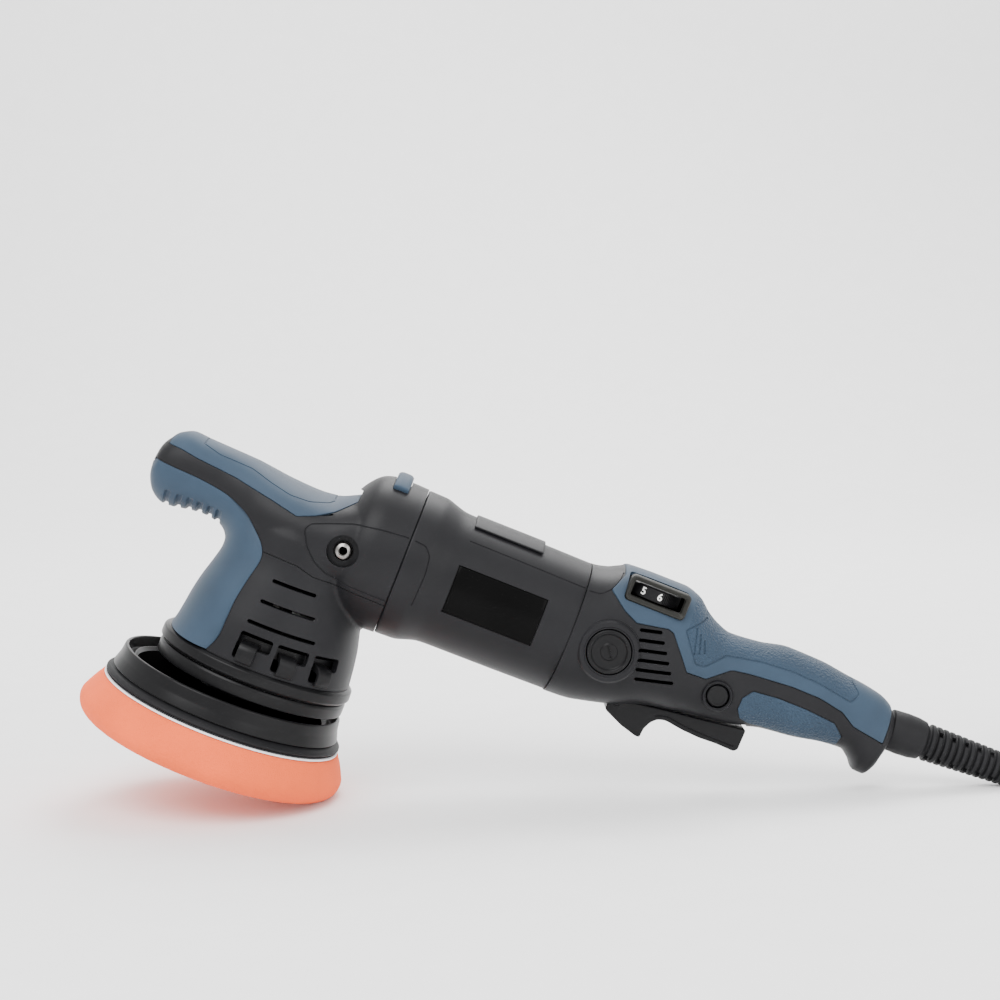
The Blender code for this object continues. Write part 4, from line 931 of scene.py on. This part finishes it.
def make_vent_screen(word, side):
    """A black sheet close behind the vents: painted shade, so that the vents read dark."""
    turns = spaced(math.radians(-36), math.radians(42), 12)
    rows = [[body_point(TAIL_TABLE, x, turn, -3.6) for turn in turns] for x in spaced(168, 206, 12)]
    outer = [[(x, -side * y, z) for x, y, z in row] for row in rows]
    inner = [[(x, y - side, z) for x, y, z in row] for row in outer]
    piece(skin_form(f"vent_shade_{word}", outer, inner), "painted_shade_black")


def make_tail():
    boss = [(0, 34.2), (12.2, 34.2), (12.6, 34.6), (14.6, 34.6), (15.6, 33.4), (16.2, 20), (0, 20)]
    ring = [(0, 22.4), (6.5, 22.4), (6.8, 22.8), (7.3, 22.8), (7.9, 21.8), (7.9, 12), (0, 12)]
    for side, word, axis in ((-1, "left", "-Y"), (1, "right", "+Y")):
        shell = rings_form(f"tail_casing_{word}", body_rings(TAIL_TABLE, spaced(139.9, 312.0, 210), 110))
        carve(shell, turned("boss", boss, axis, AT_BRUSH), join=True)
        if side < 0:
            carve(shell, turned("button_ring", ring, axis, AT_LOCK), join=True)
        carve(shell, *tail_cutters(side, axis))
        carve(shell, loft_groove(TAIL_TABLE, CREST_LINE, side, 0.4))
        piece(shell, "dark_plastic", replaces=[f"tail_shell_{word}"])
        low = skin_form(f"lower_grip_{word}", lower_grip_rows(side, 0.5), lower_grip_rows(side, -1.3))
        piece(bevel(low, 0.5), "blue_pebble", replaces=[f"tail_lower_grip_{word}"])
        make_brush_cap(word, axis)
        make_vent_screen(word, side)
    upper = bevel(skin_form("upper_grip_rubber", upper_grip_rows(0.5), upper_grip_rows(-1.3)), 0.5)
    carve(upper, window_block(), loft_groove(TAIL_TABLE, GRIP_LINE, -1, 0.55, 0.5, over=True))
    ribs = []
    for k in range(3):
        line = [(198.2 + 3.0 * k, 25.2 - 2.2 * k), (201.4 + 2.6 * k, 12.6 + 1.0 * k)]
        ribs += [loft_groove(TAIL_TABLE, line, side, 0.6, 0.5) for side in (-1, 1)]
    carve(upper, *ribs)
    piece(upper, "blue_rubber", replaces=["tail_upper_grip"])
    hatch_inside(upper)


def hatch_inside(upper):
    """The grip's textured field, inside its groove."""
    upper.data.materials.append(PAINTS["blue_pebble"])
    back = TOOL.inverted()
    edge = GRIP_LINE[2:-1]
    for face in upper.data.polygons:
        spot = back @ face.center
        if edge[0][0] + 1 < spot.x < 286.5 and spot.z > on_line(edge, spot.x) + 0.6:
            face.material_index = 1


def make_brush_cap(word, axis):
    profile = [(0, 34.5), (3.9, 34.5), (4.4, 33.9), (8.4, 33.9), (9.3, 35.1), (11.0, 34.7), (11.2, 29.0)]
    profile = eased(profile + [(0, 29.0)], 0.5, closed=False)
    cap = turned(f"brush_cap_{word}_fine", profile, axis, AT_BRUSH, 96)
    slit = block("slit", (BRUSH_X - 3.3, -40, -1.1), (BRUSH_X + 3.3, -33.4, 0.1), 55)
    if word == "right":
        slit.data.transform(Matrix.Diagonal((1, -1, 1, 1)))
        slit.data.flip_normals()
    carve(cap, slit)
    piece(cap, "satin_black", replaces=[f"brush_cap_{word}"])


def round_rect(half_x, half_z, radius, y, steps=6):
    points = []
    for quarter, (sx, sz) in enumerate(((1, 1), (-1, 1), (-1, -1), (1, -1))):
        for k in range(steps + 1):
            angle = math.radians(90 * quarter + 90 * k / steps)
            points.append((
                BEZEL_X + sx * (half_x - radius) + radius * math.cos(angle), y,
                DIAL_Z + sz * (half_z - radius) + radius * math.sin(angle),
            ))
    return points


def make_dial():
    rings = [round_rect(*ring) for ring in (
        (15.7, 6.5, 2.4, -22), (15.7, 6.5, 2.4, -28.8), (15.3, 6.1, 2.2, -29.4), (14.9, 5.7, 2.0, -29.4),
        (14.0, 4.6, 1.6, -28.4), (13.6, 4.1, 1.2, -28.0), (13.5, 3.9, 1.2, -22),
    )]
    piece(rings_form("dial_bezel_fine", rings, loop=True), "dial_grey", replaces=["dial_bezel"])
    rows = []
    for height, inset in ((3.3, 0.6), (2.9, 0.0), (-2.9, 0.0), (-3.3, 0.6)):
        row = []
        for k in range(720):
            angle = k / 2
            knurled = 15 < (angle - 270 + 360) % 360 < 150
            radius = 14.3 - inset - (0.5 if knurled and k % 8 < 3 else 0.0)
            turn = math.radians(angle)
            row.append((radius * math.cos(turn), radius * math.sin(turn), height))
        rows.append(row)
    wheel = rings_form("dial_wheel", rows)
    wheel.data.transform(Matrix.Translation((DIAL_X, DIAL_Y, DIAL_Z)))
    carve(wheel, rod("bore", 2.4, -10, 10, "Z", (DIAL_X, DIAL_Y, DIAL_Z)))
    piece(wheel, "black_plastic", "dial", ["speed_dial"])
    for digit in range(1, 7):
        angle = 9.3 - 35 * (6 - digit)
        text = bpy.data.curves.new(f"digit_{digit}", "FONT")
        text.body, text.size, text.extrude, text.offset = str(digit), 5.2, 0.12, 0.09
        text.align_x, text.align_y = "CENTER", "CENTER"
        shape = placed(f"digit_{digit}_shape", text)
        mesh = bpy.data.meshes.new_from_object(shape.evaluated_get(bpy.context.evaluated_depsgraph_get()))
        bpy.data.objects.remove(shape)
        made = placed(f"dial_digit_{digit}", mesh)
        stand = Matrix.Translation((0, -14.36, 0)) @ Matrix.Rotation(math.radians(90), 4, "X")
        turn = Matrix.Rotation(math.radians(angle), 4, "Z")
        mesh.transform(Matrix.Translation((DIAL_X, DIAL_Y, DIAL_Z)) @ turn @ stand)
        piece(made, "digit_white", "dial")


def make_controls():
    profile = [(0, 21.9), (3.6, 22.0), (4.9, 22.3), (5.6, 21.4), (5.7, 20.2), (5.7, 13.5), (0, 13.5)]
    button = turned("lock_button_fine", eased(profile, 0.6, closed=False), "-Y", AT_LOCK, 72)
    piece(button, "satin_black", "lock", ["lock_button"])
    outline = [
        (172.6, -31.4), (183.0, -36.0), (192.0, -38.6), (194.2, -38.4), (194.6, -33.4), (196.6, -29.2),
        (199.4, -26.6), (203.4, -25.6), (212.8, -27.0), (222.3, -27.6), (231.5, -27.2), (241.2, -27.6),
        (243.0, -26.0), (243.2, -15.0), (222.0, -18.0), (200.0, -20.6), (186.0, -22.6), (177.0, -23.4),
        (172.6, -25.6),
    ]
    lever = bevel(prism("trigger_paddle", eased(outline, 1.4, 3), -TRIGGER_HALF, TRIGGER_HALF), 1.5, 4, 60)
    carve(lever, rod("bore", 1.5, -20, 20, "-Y", AT_TRIGGER_PIN, 32))
    rim = [(197.6, -25.4), (200.4, -23.8), (204.0, -23.3), (213.0, -24.6), (223.0, -25.2), (240.6, -25.2)]
    carve(lever, *[side_groove(lever, rim, side, 0.4) for side in (-1, 1)])
    piece(lever, "black_plastic", "trigger_lever", ["trigger"])


# ---------------------------------------------------------------- cord guard and cord


def make_guard():
    start, end = Vector((301.0, 0, 10.6)), Vector((GUARD_END[0], 0, GUARD_END[1]))
    along = (end - start).normalized()
    length = (end - start).length
    turn = Vector((1, 0, 0)).rotation_difference(along).to_matrix().to_4x4()
    profile = [(9.0, 0.0), (9.0, 11.4), (10.5, 11.6), (10.9, 19.0), (10.7, 25.0), (9.9, 29.5)]
    ribs, first_rib = 13, 31.0
    pitch = (length - first_rib) / ribs
    for k in range(ribs):
        low = first_rib + (length - first_rib) * k / ribs
        high = 9.7 - 1.6 * k / (ribs - 1)
        root = high - 1.7
        profile += [(root, low), (root, low + 0.34 * pitch)]
        profile += [(high, low + 0.44 * pitch), (high, low + 0.94 * pitch)]
    profile += [(7.6, length), (CORD_R + GAP, length), (CORD_R + GAP, 0.0)]
    guard = turned("cord_guard_ribbed", eased(profile, 0.35, 2), "X", steps=96)
    notches = []
    for k in range(ribs):
        low = first_rib + pitch * k
        for angle in ((45, 225) if k % 2 else (135, 315)):
            notch = block("notch", (low + 0.4 * pitch, -1.5, 6.4), (low + 1.0 * pitch, 1.5, 12))
            notches.append(spun(notch, angle, "X"))
    carve(guard, *notches)
    guard.data.transform(Matrix.Translation(start) @ turn)
    piece(guard, "black_rubber", replaces=["cord_guard"])


COIL_MID_R = 0.045
COIL_HALF = 0.016
LEAD_RUN = 0.060
END_TURN_R = 0.053
END_BEND_R = 0.034
PLUG_ENTRY = (END_TURN_R - END_BEND_R) * math.sqrt(0.5)
PLUG_SIDE = PLUG_ENTRY + END_BEND_R
PLUG_Z = 2 * COIL_HALF + 0.0124 + 0.0004
CORD = 0.004
LAYER = 0.00815
TURN_GAP = 0.00805


def around(centre, radius, angle, height):
    """A place at a radius, angle and height about the coil's centre."""
    return centre + Vector((radius * math.cos(angle), radius * math.sin(angle), height))


def smooth_path(points, step):
    """Points every step along a smooth curve through the given points, in metres."""
    spots = [Vector(p) for p in points]
    spots = [spots[0] * 2 - spots[1]] + spots + [spots[-1] * 2 - spots[-2]]
    out = []
    for a, b, c, d in zip(spots, spots[1:], spots[2:], spots[3:]):
        count = max(1, round((c - b).length / step))
        for k in range(count):
            out.append(flowing(a, b, c, d, k / count))
    return out + [spots[-2]]


def cord_path():
    """The cord's whole way: guard, surface, sixteen turns of coil, and over them into the plug."""
    exit_spot = TOOL @ Vector((GUARD_END[0], 0, GUARD_END[1]))
    x, z = exit_spot.x, exit_spot.z
    lie = CORD + 0.00015
    outer = COIL_MID_R + COIL_HALF - CORD
    meets = math.sqrt((COIL_MID_R + COIL_HALF) ** 2 - (outer - CORD) ** 2)
    centre = Vector((x + LEAD_RUN + meets + 0.0008, outer, 0))
    lead = smooth_path([
        (x - 0.004, 0, z + 0.0012), (x + 0.0004, 0, z), (x + 0.006, 0, z - 0.0019),
        (x + 0.013, 0, lie + 0.0002), (x + 0.024, 0, lie), (x + 0.036, 0, lie), (x + 0.048, 0, lie),
        (x + LEAD_RUN, 0, lie), (centre.x - 0.012, 0, lie),
    ], 0.004)
    turns, per_turn = 16, 36
    coil = []
    for k in range(turns * per_turn + 1):
        turn = k / per_turn
        layer, share = divmod(turn, 4)
        column = min(max((share - 0.5) / 3.0, 0.0), 1.0) * 3.0
        whole = math.floor(column)
        column = whole + max(0.0, (column - whole - 0.75) * 4)
        radius = outer - TURN_GAP * (column if layer % 2 == 0 else 3 - column)
        climb = min(max((share - 3.78) / 0.22, 0.0), 1.0) if layer < 3 else 0.0
        height = lie + LAYER * (min(layer, 3) + climb)
        if turn >= turns:
            radius, height = outer, lie + LAYER * 3
        coil.append(around(centre, radius, 2 * math.pi * turn - math.pi / 2, height))
    top = lie + LAYER * 3
    over = []
    for k in range(1, 12):
        swing = math.radians(112 * k / 11)
        radius = outer - 0.008 + TURN_GAP * math.cos(swing)
        over.append(around(centre, radius, math.radians(-90 + 5 * k), top + TURN_GAP * math.sin(swing)))
    radius, height = (Vector(over[-1]) - centre).xy.length, over[-1].z
    final = []
    for turn in range(-25, 46, 10):
        share = min((turn + 35) / 40, 1.0)
        reach = radius + (END_TURN_R - radius) * share
        final.append(around(centre, reach, math.radians(turn), height))
    for turn, rise in ((55, 0.1), (65, 0.35), (75, 0.7), (84, 0.95), (90, 1.0)):
        bend_centre = centre + Vector((PLUG_ENTRY, PLUG_ENTRY, 0))
        final.append(around(bend_centre, END_BEND_R, math.radians(turn), height + (PLUG_Z - height) * rise))
    final.append(centre + Vector((PLUG_ENTRY - 0.004, PLUG_SIDE, PLUG_Z)))
    return centre, lead[:-1] + coil + over + smooth_path(final, 0.004)


def make_cord():
    centre, path = cord_path()
    length = sum((b - a).length for a, b in zip(path, path[1:]))
    data = bpy.data.curves.new("mains_cord", "CURVE")
    data.dimensions = "3D"
    data.bevel_depth, data.bevel_resolution, data.use_fill_caps = CORD, 4, True
    line = data.splines.new("POLY")
    line.points.add(len(path) - 1)
    for spot, point in zip(path, line.points):
        point.co = (*spot, 1.0)
    data.materials.append(PAINTS["black_rubber"])
    cord = placed("mains_cord", data)
    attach(cord, "casing")
    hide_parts("cord_lead", "cord_end", "cord_coil")
    entry = centre + Vector((PLUG_ENTRY - 0.0004, PLUG_SIDE, PLUG_Z))
    tuple(path[1])
    make_plug(entry)


def make_plug(entry):
    """A moulded mains plug with two round pins, and ribs on its sleeve."""
    rings = []
    stops = [(0, 4.9, 4.9), (1.0, 5.2, 5.2)]
    for k in range(4):
        for along, half in ((2.6, 5.6), (4.0, 5.7), (4.2, 4.9), (5.2, 4.9)):
            stops.append((along + 3 * k, half + 0.15 * k, half + 0.15 * k))
    stops += [
        (15.5, 6.4, 6.4), (18, 8.0, 7.8), (21, 11.0, 10.6), (24, 12.6, 12.0), (28, 13.0, 12.4),
        (44, 13.0, 12.4), (46.6, 12.7, 12.1), (48, 11.6, 11.0),
    ]
    for along, half_y, half_z in stops:
        ring = []
        for k in range(48):
            turn = 2 * math.pi * k / 48
            ring.append((-along, signed_power(math.cos(turn), 0.75) * half_y,
                         signed_power(math.sin(turn), 0.75) * half_z))
        rings.append(ring)
    place = Matrix.Translation(entry) @ Matrix.Scale(MM, 4)
    body = rings_form("plug_body", rings)
    found = [piece(body, "black_rubber", replaces=["plug"], place=place)]
    for side in (-7.0, 7.0):
        profile = [(0, -67), (1.3, -66.6), (2.0, -65.4), (2.0, -46), (0, -46)]
        pin = turned(f"plug_pin_{'a' if side < 0 else 'b'}", profile, "X", (0, side, 0), 32)
        found.append(piece(pin, "steel", place=place))
    return found


make_cord()
make_guard()
make_head()
make_shroud()
make_pad()
make_motor()
make_tail()
make_dial()
make_controls()


# ---------------------------------------------------------------- stage


def make_stage():
    """A pale floor that curves up into a backdrop, a sky of soft light and four large lamps."""
    bm = bmesh.new()
    rows = []
    bend, floor_end = 0.9, 1.4
    outline = [(-2.2, 0.0)] + [(y, 0.0) for y in spaced(-1.0, floor_end, 6)]
    for degrees in range(10, 91, 10):
        turn = math.radians(degrees)
        outline.append((floor_end + bend * math.sin(turn), bend - bend * math.cos(turn)))
    outline.append((2.3, 3.4))
    for x in (-4.0, 4.0):
        rows.append([bm.verts.new((x, y, z)) for y, z in outline])
    for k in range(len(outline) - 1):
        bm.faces.new((rows[0][k], rows[1][k], rows[1][k + 1], rows[0][k + 1]))
    mesh = bpy.data.meshes.new("backdrop")
    bm.to_mesh(mesh)
    bm.free()
    mesh.shade_smooth()
    mesh.materials.append(paint("stage_paper", (0.92, 0.92, 0.92), 0.8, bump=0.02, shade=0.01))
    placed("backdrop", mesh)
    world = bpy.data.worlds.new("world")
    world.use_nodes = True
    world.node_tree.nodes["Background"].inputs["Color"].default_value = (1, 1, 1, 1)
    world.node_tree.nodes["Background"].inputs["Strength"].default_value = 1.46
    bpy.context.scene.world = world
    for name, spot, size, power in (
        ("key", (-0.5, -1.1, 1.5), 1.2, 34), ("fill", (1.1, -1.3, 0.7), 1.0, 10),
        ("back", (0.3, 1.0, 1.6), 1.2, 34), ("wall", (0, 1.1, 2.0), 0.8, 26),
    ):
        lamp = bpy.data.lights.new(name, "AREA")
        lamp.size, lamp.energy = size, power
        made = placed(name, lamp)
        made.location = spot
        aim = Vector(WALL_SPOT) if name == "wall" else Vector((0, 0, 0.1))
        made.rotation_euler = (aim - Vector(spot)).to_track_quat("-Z", "Y").to_euler()


make_stage()
